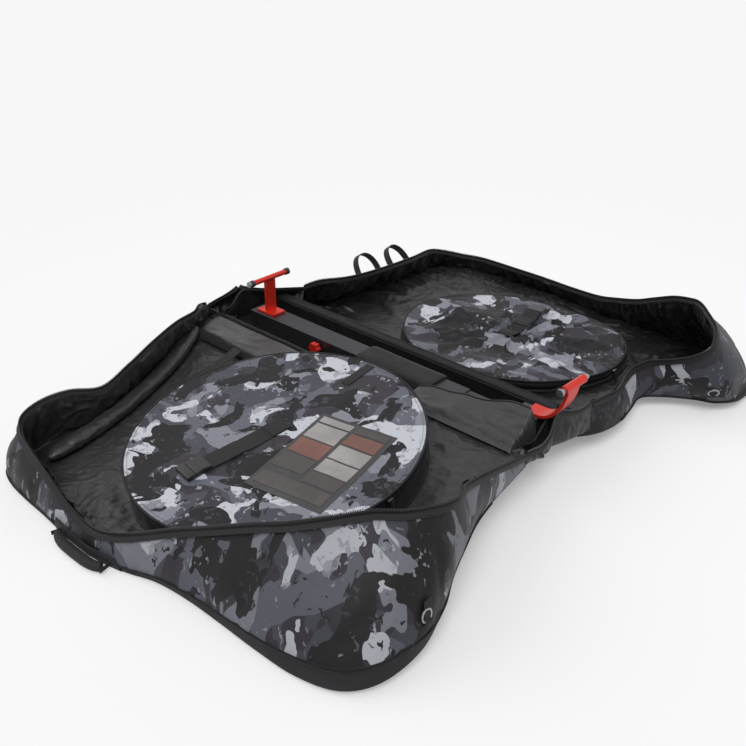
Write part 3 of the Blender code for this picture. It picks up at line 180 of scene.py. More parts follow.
class Shader:
    """Builds one procedural material node by node."""

    def __init__(self, name: str, finish: Finish) -> None:
        """Starts a material from its plain values.

        Args:
            name: the material's name.
            finish: its colour, roughness, metallic, sheen and shine.
        """
        self.material = bpy.data.materials.new(name)
        self.material.use_nodes = True
        self.tree = self.material.node_tree
        self.body = self.tree.nodes["Principled BSDF"]
        self.body.inputs["Base Color"].default_value = (*finish.colour, 1.0)
        self.body.inputs["Roughness"].default_value = finish.roughness
        self.body.inputs["Metallic"].default_value = finish.metallic
        self.body.inputs["Sheen Weight"].default_value = finish.sheen
        self.body.inputs["Sheen Roughness"].default_value = 0.4
        self.body.inputs["Specular IOR Level"].default_value = finish.specular
        self.place = self.tree.nodes.new("ShaderNodeTexCoord")

    def node(self, kind: str, inputs: Optional[dict] = None, **settings) -> bpy.types.Node:
        """Adds a node.

        Args:
            kind: the node's type name without the common prefix.
            inputs: socket names with a value or another socket for each.
            settings: attributes of the node.

        Returns:
            The new node.
        """
        made = self.tree.nodes.new("ShaderNode" + kind)
        for key, value in settings.items():
            setattr(made, key, value)
        for key, value in (inputs or {}).items():
            if isinstance(value, Socket):
                self.tree.links.new(value, made.inputs[key])
            else:
                made.inputs[key].default_value = value
        return made

    def coordinates(self, space: str, scale: Sequence[float],
                    shift: Sequence[float] = (0, 0, 0)) -> Socket:
        """Gives stretched coordinates."""
        made = self.node("Mapping", {"Vector": self.place.outputs[space], "Location": shift, "Scale": scale})
        return made.outputs["Vector"]

    def noise(self, where: Socket, scale: float, detail: float, warp: float = 0.0,
              rough: float = 0.5) -> Socket:
        """Gives a cloudy value.

        Args:
            where: coordinates.
            scale: how fine it is.
            detail: how many finer layers it has.
            warp: how far it is bent.
            rough: how strong the finer layers are.

        Returns:
            The socket of the value.
        """
        made = self.node("TexNoise", {"Vector": where, "Scale": scale, "Detail": detail, "Distortion": warp,
                                      "Roughness": rough})
        return made.outputs["Fac"]

    def step(self, value: Socket, low: float, high: float) -> Socket:
        """Turns a value into a mask."""
        made = self.node("MapRange", {"Value": value, "From Min": low, "From Max": high}, clamp=True)
        return made.outputs["Result"]

    def ranged(self, value: Socket, low: float, high: float) -> Socket:
        """Stretches a value of zero to one between two ends."""
        return self.node("MapRange", {"Value": value, "To Min": low, "To Max": high}).outputs[0]

    def both(self, first: Socket, second: Socket) -> Socket:
        """Gives where two masks meet."""
        return self.node("Math", {0: first, 1: second}, operation="MULTIPLY").outputs[0]

    def mix(self, mask: Socket, first: object, second: object) -> Socket:
        """Mixes two colours.

        Args:
            mask: where the second shows.
            first: a colour or a socket.
            second: a colour or a socket.

        Returns:
            The socket of the colour.
        """
        made = self.tree.nodes.new("ShaderNodeMix")
        made.data_type = "RGBA"
        self.tree.links.new(mask, made.inputs[0])
        for slot, value in ((6, first), (7, second)):
            if isinstance(value, Socket):
                self.tree.links.new(value, made.inputs[slot])
            else:
                made.inputs[slot].default_value = (*value, 1.0)
        return made.outputs[2]

    def bump(self, height: Socket, depth: float, strength: float = 1.0,
             over: Optional[Socket] = None) -> Socket:
        """Raises the surface.

        Args:
            height: the relief.
            depth: its depth in metres.
            strength: how much of it shows.
            over: a coarser relief under it.

        Returns:
            The socket of the normal.
        """
        inputs = {"Height": height, "Distance": depth, "Strength": strength}
        if over is not None:
            inputs["Normal"] = over
        return self.node("Bump", inputs).outputs["Normal"]

    def paint(self, socket: str, source: Socket) -> None:
        """Feeds a socket of the surface."""
        self.tree.links.new(source, self.body.inputs[socket])


class Palette:
    """Every material of the bag, made once."""

    def __init__(self) -> None:
        """Makes the materials."""
        # One print in two tones: lighter on the lid as painted light, darker on the walls as painted shade.
        self.print = self._print("lid_print_painted_light", 1.12)
        self.wall_print_painted_shade = self._print("wall_print_painted_shade", 0.70)
        # One nylon lining in two tones: this lighter one, and a much darker copy that is painted shade, used
        # in the far half, on the pan and in the end gathers.
        self.lining = self._lining("nylon_lining", 0.029)
        self.lining_painted_shade = self._lining("dark_nylon_lining", 0.0045)
        self.canvas = self._canvas("canvas_black",
                                   Finish((0.013, 0.013, 0.0145), 0.7, sheen=0.04, specular=0.25))
        self.gusset = self._canvas("gusset_black",
                                   Finish((0.0105, 0.0105, 0.0115), 0.5, sheen=0.03, specular=0.3))
        self.webbing = self._webbing("webbing_black",
                                     Finish((0.0125, 0.0125, 0.014), 0.65, sheen=0.04, specular=0.3))
        self.binding = self._webbing("binding_black",
                                     Finish((0.008, 0.008, 0.009), 0.55, sheen=0.03, specular=0.28))
        self.teeth = self._plain("zip_teeth", Finish((0.013, 0.013, 0.014), 0.3), 40.0, 0.05)
        self.plastic = self._plain("moulded_plastic", Finish((0.012, 0.012, 0.013), 0.4), 900.0, 0.03)
        self.rubber = self._plain("tyre_rubber", Finish((0.02, 0.02, 0.02), 0.8), 500.0, 0.06)
        self.steel = self._metal("plated_steel", Finish((0.36, 0.36, 0.37), 0.32, 1.0))
        self.slider = self._metal("dark_slider", Finish((0.09, 0.09, 0.095), 0.35, 1.0))
        self.alloy = self._metal("dark_alloy", Finish((0.05, 0.05, 0.055), 0.42, 0.85))
        self.red = self._metal("red_alloy", Finish((0.62, 0.028, 0.014), 0.34, 0.45))
        self.thread = self._plain("thread", Finish((0.03, 0.03, 0.032), 0.6), 400.0, 0.05)
        self.patch_base = self._canvas("patch_base", Finish((0.028, 0.028, 0.03), 0.45))
        self.patch_pale = self._canvas("patch_pale", Finish((0.27, 0.255, 0.25), 0.5, specular=0.3))
        self.patch_warm = self._canvas("patch_warm", Finish((0.16, 0.075, 0.062), 0.5, specular=0.3))
        self.patch_mid = self._canvas("patch_mid", Finish((0.07, 0.06, 0.06), 0.5, specular=0.3))

    def _weave(self, shader: Shader, over: Optional[Socket] = None) -> Socket:
        """Adds the fine weave of a fabric.

        Args:
            shader: the material.
            over: a coarser relief under it.

        Returns:
            The socket of the normal.
        """
        where = shader.coordinates("Object", (1, 1, 1))
        fine = shader.node("TexVoronoi", {"Vector": where, "Scale": 850.0}).outputs["Distance"]
        return shader.bump(fine, 0.0004, 0.35, over)

    def _print(self, name: str, tone: float) -> Material:
        """Makes the grey camouflage print with a woven face.

        Args:
            name: the material's name.
            tone: the factor that scales its colours: above one on the lid as painted light, below one on the
                walls as painted shade.

        Returns:
            The material.
        """
        shader = Shader(name, Finish((0.06, 0.06, 0.07), 0.56, sheen=0.03, specular=0.24))
        first = shader.coordinates("Object", (1.15, 1.0, 0.66))
        second = shader.coordinates("Object", (1.0, 1.2, 0.7), (3.7, 1.9, 0.4))
        third = shader.coordinates("Object", (1.1, 1.05, 0.6), (7.1, 4.3, 2.2))
        fourth = shader.coordinates("Object", (1.0, 1.1, 0.62), (1.3, 8.2, 5.6))
        streaked = shader.coordinates("Object", (1.6, 1.6, 0.35), (4.4, 0.7, 9.1))
        violet = shader.step(shader.noise(first, 6.2, 2.8, 0.6, 0.46), 0.49, 0.494)
        grey = shader.step(shader.noise(second, 7.0, 2.8, 0.8, 0.46), 0.54, 0.544)
        dark = shader.step(shader.noise(third, 7.4, 3.0, 0.9, 0.48), 0.532, 0.536)
        mist = shader.step(shader.noise(fourth, 7.6, 2.7, 0.7, 0.45), 0.575, 0.579)
        light = shader.step(shader.noise(third, 8.2, 2.9, 0.6, 0.46), 0.415, 0.411)
        brushed = shader.step(shader.noise(streaked, 23.0, 3.5, 0.4, 0.6), 0.59, 0.60)
        near_light = shader.step(shader.noise(third, 8.2, 2.9, 0.6, 0.46), 0.47, 0.44)
        ragged = shader.noise(second, 60.0, 2.0, 0.5)
        spots = shader.noise(fourth, 74.0, 1.2, 0.9, 0.5)
        group = shader.noise(first, 11.0, 1.5, 0.4, 0.5)
        dark_drop = shader.both(shader.step(spots, 0.665, 0.68), shader.step(group, 0.50, 0.56))
        light_drop = shader.both(shader.step(spots, 0.345, 0.33), shader.step(group, 0.47, 0.41))
        scraped = shader.both(shader.step(ragged, 0.56, 0.58), shader.step(group, 0.56, 0.62))
        colour = shader.mix(violet, (0.052, 0.054, 0.068), (0.030, 0.026, 0.034))
        colour = shader.mix(grey, colour, (0.098, 0.102, 0.126))
        colour = shader.mix(mist, colour, (0.185, 0.190, 0.222))
        colour = shader.mix(light, colour, (0.45, 0.46, 0.505))
        colour = shader.mix(shader.both(brushed, near_light), colour, (0.30, 0.31, 0.345))
        colour = shader.mix(dark, colour, (0.0075, 0.0070, 0.0085))
        colour = shader.mix(shader.both(scraped, dark), colour, (0.040, 0.039, 0.048))
        colour = shader.mix(dark_drop, colour, (0.010, 0.0095, 0.011))
        colour = shader.mix(light_drop, colour, (0.25, 0.255, 0.28))
        # The colours are scaled by tone: painted light on the lid, painted shade on the walls.
        toned = shader.node("VectorMath", {0: colour, 1: (tone,) * 3}, operation="MULTIPLY").outputs[0]
        shader.paint("Base Color", toned)
        soft = shader.bump(shader.noise(first, 22.0, 2.0, 0.4), 0.004, 0.35)
        shader.paint("Normal", self._weave(shader, soft))
        return shader.material

    def _lining(self, name: str, tone: float) -> Material:
        """Makes the thin shiny lining with fine creases.

        Args:
            name: the material's name.
            tone: how pale it is.

        Returns:
            The material.
        """
        shader = Shader(name, Finish((tone, tone, tone * 1.06), 0.34, sheen=0.06, specular=0.36))
        where = shader.coordinates("Object", (1.0, 1.0, 0.5))
        turned = shader.coordinates("Object", (0.5, 1.5, 0.9), (2.1, 0.3, 5.2))
        coarse = shader.bump(shader.noise(where, 24.0, 2.0, 0.9, 0.45), 0.004, 0.6)
        finer = shader.bump(shader.noise(turned, 46.0, 2.4, 1.2, 0.5), 0.0030, 0.6, coarse)
        shader.paint("Normal", self._weave(shader, finer))
        dull = shader.step(shader.noise(where, 6.0, 2.0), 0.3, 0.7)
        shader.paint("Roughness", shader.ranged(dull, 0.28, 0.46))
        return shader.material

    def _canvas(self, name: str, finish: Finish) -> Material:
        """Makes a plain woven fabric.

        Args:
            name: the material's name.
            finish: its plain values.

        Returns:
            The material.
        """
        shader = Shader(name, finish)
        where = shader.coordinates("Object", (1, 1, 1))
        soft = shader.bump(shader.noise(where, 26.0, 3.0, 1.2), 0.004, 0.4)
        shader.paint("Normal", self._weave(shader, soft))
        worn = shader.step(shader.noise(where, 9.0, 4.0), 0.45, 0.75)
        brighter = tuple(min(channel * 1.5 + 0.002, 1.0) for channel in finish.colour)
        shader.paint("Base Color", shader.mix(worn, finish.colour, brighter))
        return shader.material

    def _webbing(self, name: str, finish: Finish) -> Material:
        """Makes ribbed webbing whose ribs lie across its length.

        Args:
            name: the material's name.
            finish: its plain values.

        Returns:
            The material.
        """
        shader = Shader(name, finish)
        where = shader.coordinates("UV", (1, 1, 1))
        ribs, cords = (shader.node("TexWave", {"Vector": where, "Scale": scale, "Distortion": 0.0},
                                   bands_direction=way).outputs["Fac"]
                       for scale, way in ((160.0, "X"), (85.0, "Y")))
        shader.paint("Normal", shader.bump(cords, 0.0005, 0.5, shader.bump(ribs, 0.0006, 0.6)))
        # The grooves between the ribs are painted darker: painted shade.
        dark = tuple(channel * 0.55 for channel in finish.colour)
        shader.paint("Base Color", shader.mix(ribs, dark, finish.colour))
        return shader.material

    def _plain(self, name: str, finish: Finish, scale: float, depth: float) -> Material:
        """Makes a moulded material with a faint grain.

        Args:
            name: the material's name.
            finish: its plain values.
            scale: how fine the grain is.
            depth: how strong it is.

        Returns:
            The material.
        """
        shader = Shader(name, finish)
        where = shader.coordinates("Object", (1, 1, 1))
        shader.paint("Normal", shader.bump(shader.noise(where, scale, 2.0), 0.001, depth * 4))
        rough = shader.noise(where, 30.0, 3.0)
        top = min(finish.roughness * 1.2, 1.0)
        shader.paint("Roughness", shader.ranged(rough, finish.roughness * 0.85, top))
        return shader.material

    def _metal(self, name: str, finish: Finish) -> Material:
        """Makes a brushed metal with light scuffs.

        Args:
            name: the material's name.
            finish: its plain values.

        Returns:
            The material.
        """
        shader = Shader(name, finish)
        brushed = shader.coordinates("Object", (6.0, 260.0, 260.0))
        where = shader.coordinates("Object", (1, 1, 1))
        lines = shader.noise(brushed, 4.0, 2.0)
        scuffs = shader.step(shader.noise(where, 55.0, 5.0, 0.6, 0.6), 0.56, 0.66)
        shader.paint("Roughness", shader.ranged(lines, finish.roughness * 0.75, finish.roughness * 1.35))
        worn = tuple(channel * 0.82 + 0.01 for channel in finish.colour)
        shader.paint("Base Color", shader.mix(scuffs, finish.colour, worn))
        shader.paint("Normal", shader.bump(lines, 0.0004, 0.12))
        return shader.material


def pick(item: Item) -> None:
    """Makes an object the only selected one, and the active one.

    Args:
        item: the object.
    """
    bpy.ops.object.select_all(action="DESELECT")
    item.select_set(True)
    bpy.context.view_layer.objects.active = item


def in_edit_mode(item: Item, *steps: Callable[[], object]) -> None:
    """Runs edit mode steps on one object with all of it selected.

    Args:
        item: the object.
        steps: what is done, one after another.
    """
    pick(item)
    bpy.ops.object.mode_set(mode="EDIT")
    bpy.ops.mesh.select_all(action="SELECT")
    for step in steps:
        step()
    bpy.ops.object.mode_set(mode="OBJECT")


def apply_all(item: Item) -> None:
    """Applies an object's modifiers.

    Args:
        item: the object.
    """
    pick(item)
    for step in list(item.modifiers):
        bpy.ops.object.modifier_apply(modifier=step.name)


def thicken(item: Item, thickness: float, offset: float = -1.0, material_offset: int = 0) -> None:
    """Gives a sheet its thickness.

    Args:
        item: the sheet.
        thickness: how thick it becomes.
        offset: minus one to grow inwards, zero to grow both ways.
        material_offset: how many materials later the new side's is.
    """
    skin = item.modifiers.new("Solidify", "SOLIDIFY")
    skin.thickness = thickness
    skin.offset = offset
    skin.material_offset = material_offset
    apply_all(item)


def face_outwards(item: Item) -> None:
    """Turns the faces of a closed piece outwards."""
    in_edit_mode(item, lambda: bpy.ops.mesh.normals_make_consistent(inside=False))


def read_points(item: Item, field: str = "co") -> Points:
    """Reads the points of a mesh.

    Args:
        item: the object.
        field: co for their places, normal for their directions.

    Returns:
        One row for each point.
    """
    flat = np.empty(len(item.data.vertices) * 3)
    item.data.vertices.foreach_get(field, flat)
    return flat.reshape(-1, 3)


def write_points(item: Item, points: Points) -> None:
    """Moves the points of a mesh."""
    item.data.vertices.foreach_set("co", points.ravel())
    item.data.update()


def shade(item: Item, degrees: float = 50.0) -> None:
    """Shades a piece smooth with its sharp edges kept."""
    pick(item)
    bpy.ops.object.shade_smooth_by_angle(angle=math.radians(degrees))


def loft(name: str, points: Points, wrap: bool = False, caps: bool = False,
         span: tuple[float, float] = (1.0, 1.0)) -> Item:
    """Bends a flat grid into a surface through rows of points.

    Args:
        name: the piece's name.
        points: rows by columns by three coordinates.
        wrap: whether the last column joins the first.
        caps: whether the first and last rows are closed by a face.
        span: the real length along the columns and the rows, for the weave.

    Returns:
        The new object.
    """
    if wrap:
        points = np.concatenate([points, points[:, :1]], axis=1)
    rows, columns = points.shape[:2]
    bpy.ops.mesh.primitive_grid_add(x_subdivisions=columns - 1, y_subdivisions=rows - 1, size=2)
    item = bpy.context.object
    item.name = name
    item.data.name = name
    flat = read_points(item)
    column = np.rint((flat[:, 0] + 1) / 2 * (columns - 1)).astype(int)
    row = np.rint((flat[:, 1] + 1) / 2 * (rows - 1)).astype(int)
    write_points(item, points[row, column])
    layer = item.data.uv_layers.active.data
    place = np.empty(len(layer) * 2)
    layer.foreach_get("uv", place)
    place = place.reshape(-1, 2) * np.array(span)
    layer.foreach_set("uv", place.ravel())
    steps = [lambda: bpy.ops.mesh.remove_doubles(threshold=MERGE)]
    if caps:
        steps.append(lambda: bpy.ops.mesh.fill_holes(sides=0))
    if wrap and caps:
        steps.append(lambda: bpy.ops.mesh.normals_make_consistent(inside=False))
    in_edit_mode(item, *steps)
    return item


def unit(vectors: Points) -> Points:
    """Gives vectors of length one."""
    return vectors / np.maximum(np.linalg.norm(vectors, axis=-1, keepdims=True), SMALL)


def heading(path: Points) -> Points:
    """Gives the direction of a path at each of its points."""
    return unit(np.gradient(path, axis=0))


def tiled(direction: Sequence[float], path: Points) -> Points:
    """Repeats one direction for each point of a path."""
    return np.tile(direction, (len(path), 1))


def distances(path: Points) -> Points:
    """Gives how far along a path each of its points is."""
    return np.concatenate([[0], np.cumsum(np.linalg.norm(np.diff(path, axis=0), axis=1))])


def sample(marks: Points, gone: Points, values: Points) -> Points:
    """Reads rows of values at marks along a path."""
    return np.stack([np.interp(marks, gone, column) for column in values.T], 1)


def even_out(values: Points, rounds: int) -> None:
    """Smooths a row of values where it is, with its ends kept."""
    for _ in range(rounds):
        values[1:-1] = (values[:-2] + values[2:]) / 2


def turned(degrees: float) -> Points:
    """Gives the matrix of a turn in plan."""
    cos, sin = math.cos(math.radians(degrees)), math.sin(math.radians(degrees))
    return np.array(((cos, -sin), (sin, cos)))


def nearest(points: Points) -> KDTree:
    """Prepares the search for the nearest of some points.

    Args:
        points: the points.

    Returns:
        The tree to search.
    """
    tree = KDTree(len(points))
    for index, place in enumerate(points):
        tree.insert(place, index)
    tree.balance()
    return tree


def sweep(name: str, path: Points, across: Points, up: Points, section: Points,
          closed: bool = False) -> Item:
    """Sweeps a closed section along a path.

    Args:
        name: the piece's name.
        path: the points that the section follows.
        across: the section's first axis at each point.
        up: its second axis at each point.
        section: the section's points as pairs.
        closed: whether the path is a ring.

    Returns:
        The new object.
    """
    points = (path[:, None] + across[:, None] * section[None, :, :1] + up[:, None] * section[None, :, 1:])
    if closed:
        points = np.concatenate([points, points[:1]], axis=0)
    length, girth = float(distances(path)[-1]), float(distances(section)[-1])
    ribbon = points.transpose(1, 0, 2)
    ribbon = np.concatenate([ribbon, ribbon[:1]], axis=0)
    item = loft(name, ribbon, span=(length, girth))
    steps = [lambda: bpy.ops.mesh.remove_doubles(threshold=MERGE)]
    if not closed:
        steps.append(lambda: bpy.ops.mesh.fill_holes(sides=0))
    steps.append(lambda: bpy.ops.mesh.normals_make_consistent(inside=False))
    in_edit_mode(item, *steps)
    return item


def oval(width: float, height: float, count: int = 10, power: float = 2.0) -> Points:
    """Gives the points of a rounded section.

    Args:
        width: its whole width.
        height: its whole height.
        count: how many points it has.
        power: two for an ellipse, more for a rounder box.

    Returns:
        The points as pairs.
    """
    turn = np.linspace(0, 2 * math.pi, count, endpoint=False)
    cos, sin = np.cos(turn), np.sin(turn)
    bend = 2.0 / power
    x = np.sign(cos) * np.abs(cos)**bend * width / 2
    y = np.sign(sin) * np.abs(sin)**bend * height / 2
    return np.stack([x, y], 1)


def cloud(points: Points, scale: Sequence[float], seed: float) -> Points:
    """Gives a smooth random value at each point.

    Args:
        points: an array of points.
        scale: how fine it is along each axis.
        seed: which one it is.

    Returns:
        Values from about minus one to one.
    """
    flat = points.reshape(-1, 3) * np.array(scale) + seed
    values = np.array([noise.noise(Vector(place)) for place in flat])
    return values.reshape(points.shape[:-1])


def creases(points: Points, scale: Sequence[float], seed: float, sharp: float = 2.0) -> Points:
    """Gives ridges like the folds of thin cloth.

    Args:
        points: an array of points.
        scale: how close the folds lie along each axis.
        seed: which folds.
        sharp: how narrow they are.

    Returns:
        Values from zero to one.
    """
    bent = points + 0.06 * np.stack([cloud(points, (9, 9, 9), seed + 5), cloud(points, (9, 9, 9), seed + 11),
                                     np.zeros(points.shape[:-1])], -1)
    return (1 - np.clip(np.abs(cloud(bent, scale, seed)) * 2.2, 0, 1))**sharp


def soft_tube(name: str, path: Points, across: Points, up: Points, width: float, height: float, folds: float,
              seed: float) -> Item:
    """Makes a padded roll with closed round ends and soft folds.

    Args:
        name: the piece's name.
        path: the roll's middle line.
        across: its first axis at each point.
        up: its second axis at each point.
        width: its whole width.
        height: its whole height.
        folds: how deep its folds are.
        seed: which folds.

    Returns:
        The new object.
    """
    share = np.linspace(-1, 1, len(path))
    full = np.sqrt(np.clip(1 - share**10, 0.0004, 1))[:, None]
    turn = np.linspace(0, 2 * math.pi, 32, endpoint=False)
    cos, sin = np.cos(turn), np.sin(turn)
    out = across[:, None] * cos[:, None] + up[:, None] * sin[:, None]
    ring = (path[:, None] + across[:, None] * (cos * width / 2 * full)[..., None]
            + up[:, None] * (np.sign(sin) * np.abs(sin)**0.8 * height / 2 * full)[..., None])
    depth = creases(ring, (34.0, 34.0, 34.0), seed, 1.5) * folds + cloud(ring, (14, 14, 14), seed + 2) * folds
    return loft(name, ring - out * (depth * full)[..., None], wrap=True, caps=True, span=(0.3, 0.6))


def displace(item: Item, rule: Callable[[Points], Points]) -> None:
    """Raises a surface's points along its normals.

    Args:
        item: the surface.
        rule: gives the height to add at each point.
    """
    place = read_points(item)
    place = place + read_points(item, "normal") * rule(place)[:, None]
    place[:, 2] = np.maximum(place[:, 2], LOWEST)
    write_points(item, place)


@dataclass(frozen=True)
class Settling:
    """How loose cloth feels while it settles, and how far it may move."""

    steps: int = 18
    quality: int = 5
    mass: float = 0.12
    air_damping: float = 3.0
    stretch: float = 14.0
    shear: float = 4.0
    bending: float = 0.6
    slide_share: float = 0.35
    slide_limit: float = 0.012
    sink_limit: float = 0.0015


def drape(item: Item, held: Points, growth: float, reach: float, feel: Settling = Settling()) -> None:
    """Lets loose cloth buckle and sag under its weight and keeps the shape that it takes.

    Args:
        item: the cloth, one open surface that faces away from what it lies on.
        held: how firmly each of its points is held, from zero to one.
        growth: how much larger it is cut than the place that it fills.
        reach: the furthest that a point may rise from its place.
        feel: how the cloth feels.
    """
    start, normal = read_points(item), read_points(item, "normal")
    group = item.vertex_groups.new(name="held")
    for index in np.nonzero(held > 0)[0]:
        group.add([int(index)], float(held[index]), "REPLACE")
    cloth = item.modifiers.new("Cloth", "CLOTH")
    settings = {"quality": feel.quality, "mass": feel.mass, "air_damping": feel.air_damping,
                "tension_stiffness": feel.stretch, "compression_stiffness": feel.stretch,
                "shear_stiffness": feel.shear, "bending_stiffness": feel.bending,
                "vertex_group_mass": "held", "shrink_min": -growth}
    for key, value in settings.items():
        setattr(cloth.settings, key, value)
    cloth.collision_settings.use_collision = False
    cloth.point_cache.frame_start = 1
    cloth.point_cache.frame_end = feel.steps
    for frame_number in range(1, feel.steps + 1):
        bpy.context.scene.frame_set(frame_number)
    apply_all(item)
    shift = read_points(item) - start
    item.vertex_groups.clear()
    bpy.context.scene.frame_set(1)
    rise = (shift * normal).sum(1, keepdims=True)
    slide = (shift - rise * normal) * feel.slide_share
    slide *= np.minimum(1, feel.slide_limit / np.maximum(np.linalg.norm(slide, axis=1, keepdims=True), SMALL))
    sunk = feel.sink_limit * np.tanh(rise / feel.sink_limit)
    lifted = np.where(rise > 0, reach * np.tanh(rise / reach), sunk)
    write_points(item, start + normal * lifted + slide)
    LOG.info("%s: settled, up to %.1f mm", item.name, float(np.abs(rise).max()) * 1000)


def place_piece(item: Item, body: str, materials: Sequence[Material], replaced: Sequence[str],
                degrees: float = 60.0) -> Item:
    """Gives a piece its materials and lets it ride on a body.

    Args:
        item: the piece.
        body: the body that it moves with.
        materials: its materials in order.
        replaced: the nodes that it stands for.
        degrees: edges sharper than this stay crisp.

    Returns:
        The piece.
    """
    indices = [face.material_index for face in item.data.polygons]
    item.data.materials.clear()
    for material in materials:
        item.data.materials.append(material)
    item.data.polygons.foreach_set("material_index", indices)
    shade(item, degrees)
    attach(item, body)
    if replaced:
        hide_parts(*replaced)
    LOG.info("%s: %d faces on %s", item.name, len(item.data.polygons), body)
    return item


def blend_piece(item: Item, material: Material,
                degrees: float = 50.0, replaced: Sequence[str] = ()) -> None:
    """Gives a piece that crosses a hinge its material and bakes its place into its points.

    Args:
        item: the piece.
        material: its material.
        degrees: edges sharper than this stay crisp.
        replaced: the nodes that it stands for.
    """
    item.data.materials.clear()
    item.data.materials.append(material)
    shade(item, degrees)
    if replaced:
        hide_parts(*replaced)
    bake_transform(item)
    LOG.info("%s: blended", item.name)


class HalfForm:
    """The shape of one half: its outline, its wall and the place of its wheel bag."""

    def __init__(self, sizes: HalfSizes, per_row: int = 8) -> None:
        """Reads the outline.

        Args:
            sizes: the half's sizes.
            per_row: how many places there are for each row of the outline.
        """
        self.sizes = sizes
        self.side = sizes.side.value
        self.rows = np.array(sizes.outline)
        self.positions = np.linspace(0, len(self.rows) - 1, (len(self.rows) - 1) * per_row + 1)
        self.shoulder = HINGE_HEIGHT - PANEL / 2 - sizes.shoulder_drop
        self.tilt = math.atan(self.shoulder / (HALF_OUTER - HINGE_Y))
        across = 0.0043 + sizes.wheel_bag.margin + sizes.wheel_bag.radius
        self.panel = (Matrix.Translation((0, self.side * HINGE_Y, HINGE_HEIGHT - sizes.shoulder_drop))
                      @ Matrix.Rotation(-self.side * self.tilt, 4, "X"))
        self.bag = self.panel @ Matrix.Translation((BAG_X, self.side * across, PANEL / 2 + 0.0003))

    def read(self, positions: Points) -> Points:
        """Reads a smooth curve through the outline.

        Args:
            positions: places counted in rows.

        Returns:
            The five shares at each place.
        """
        last = len(self.rows) - 1
        row = np.clip(positions.astype(int), 0, last - 1)
        share = (positions - row)[:, None]
        before, first = self.rows[np.maximum(row - 1, 0)], self.rows[row]
        second, after = self.rows[row + 1], self.rows[np.minimum(row + 2, last)]
        slope1, slope2, rise = (second - before) / 2, (after - first) / 2, second - first
        return (first + slope1 * share + (3 * rise - 2 * slope1 - slope2) * share**2
                + (slope1 + slope2 - 2 * rise) * share**3)

    def panel_height(self, across: Points) -> Points:
        """Gives the height of the sloping panel's underside."""
        return self.shoulder * (HALF_OUTER - across) / (HALF_OUTER - HINGE_Y)

    def rim_and_foot(self, positions: Points) -> tuple[Points, Points]:
        """Gives the rim and the foot of the wall.

        Args:
            positions: places counted in rows.

        Returns:
            The rim's points and the foot's points.
        """
        shares = self.read(positions)
        rim = np.stack([shares[:, 0] * LENGTH - LENGTH / 2, self.side * shares[:, 1] * HALF_OUTER,
                        shares[:, 2] * RIM_HEIGHT], 1)
        across = np.minimum(shares[:, 4], 1.0) * HALF_OUTER
        foot = np.stack([np.clip(shares[:, 3], 0, 1) * LENGTH - LENGTH / 2, self.side * across,
                         self.panel_height(across)], 1)
        return rim, foot

    def outward(self, positions: Points) -> Points:
        """Gives the level direction out of the wall.

        Args:
            positions: places counted in rows.

        Returns:
            The directions.
        """
        last = len(self.rows) - 1
        ahead = self.rim_and_foot(np.minimum(positions + 0.5, last))[1]
        behind = self.rim_and_foot(np.maximum(positions - 0.5, 0))[1]
        run = unit(ahead - behind)
        return np.stack([run[:, 1], -run[:, 0], np.zeros(len(run))], 1) * self.side

    def wall(self, positions: Points, up_share: float) -> Points:
        """Gives the outside of the wall.

        Args:
            positions: places counted in rows.
            up_share: how far up the wall, from zero to one.

        Returns:
            The points.
        """
        rim, foot = self.rim_and_foot(positions)
        ends = np.minimum(np.minimum(positions, len(self.rows) - 1 - positions), 3) / 3
        height = np.linalg.norm(rim - foot, axis=1)
        bulge = WALL_BULGE * math.sin(math.pi * up_share) * ends * height / RIM_HEIGHT * 2
        points = foot + (rim - foot) * up_share + self.outward(positions) * bulge[:, None]
        return np.clip(points, (-LENGTH / 2, -HALF_OUTER, 0), (LENGTH / 2, HALF_OUTER, 1))

    def ring(self, up_share: float, hinge_steps: int = 72) -> Points:
        """Gives a whole ring of the half: round the wall and back along the hinge.

        Args:
            up_share: how far up, from the panel at zero to the rim at one.
            hinge_steps: how many places lie along the hinge.

        Returns:
            The ring's points.
        """
        wall = self.wall(self.positions, up_share)
        x = np.linspace(wall[-1, 0], wall[0, 0], hinge_steps + 2)[1:-1]
        low = self.panel_height(np.array([HINGE_INNER]))[0]
        height = low + (LIP_TOP - low) * up_share
        edge = np.stack([x, np.full_like(x, self.side * HINGE_INNER), np.full_like(x, height)], 1)
        return np.concatenate([wall, edge])

    def rim_frame(self) -> tuple[Points, Points, Points]:
        """Gives the rim's path with its inward and upward directions.

        Returns:
            The path, the inward directions and the upward directions.
        """
        top = self.wall(self.positions, 1.0)
        below = self.wall(self.positions, 0.75)
        run = unit(np.gradient(top, axis=0))
        rise = top - below
        rise = unit(rise - run * (rise * run).sum(1, keepdims=True))
        inward = unit(np.cross(run, rise)) * self.side
        return top + inward * PANEL / 2, inward, rise


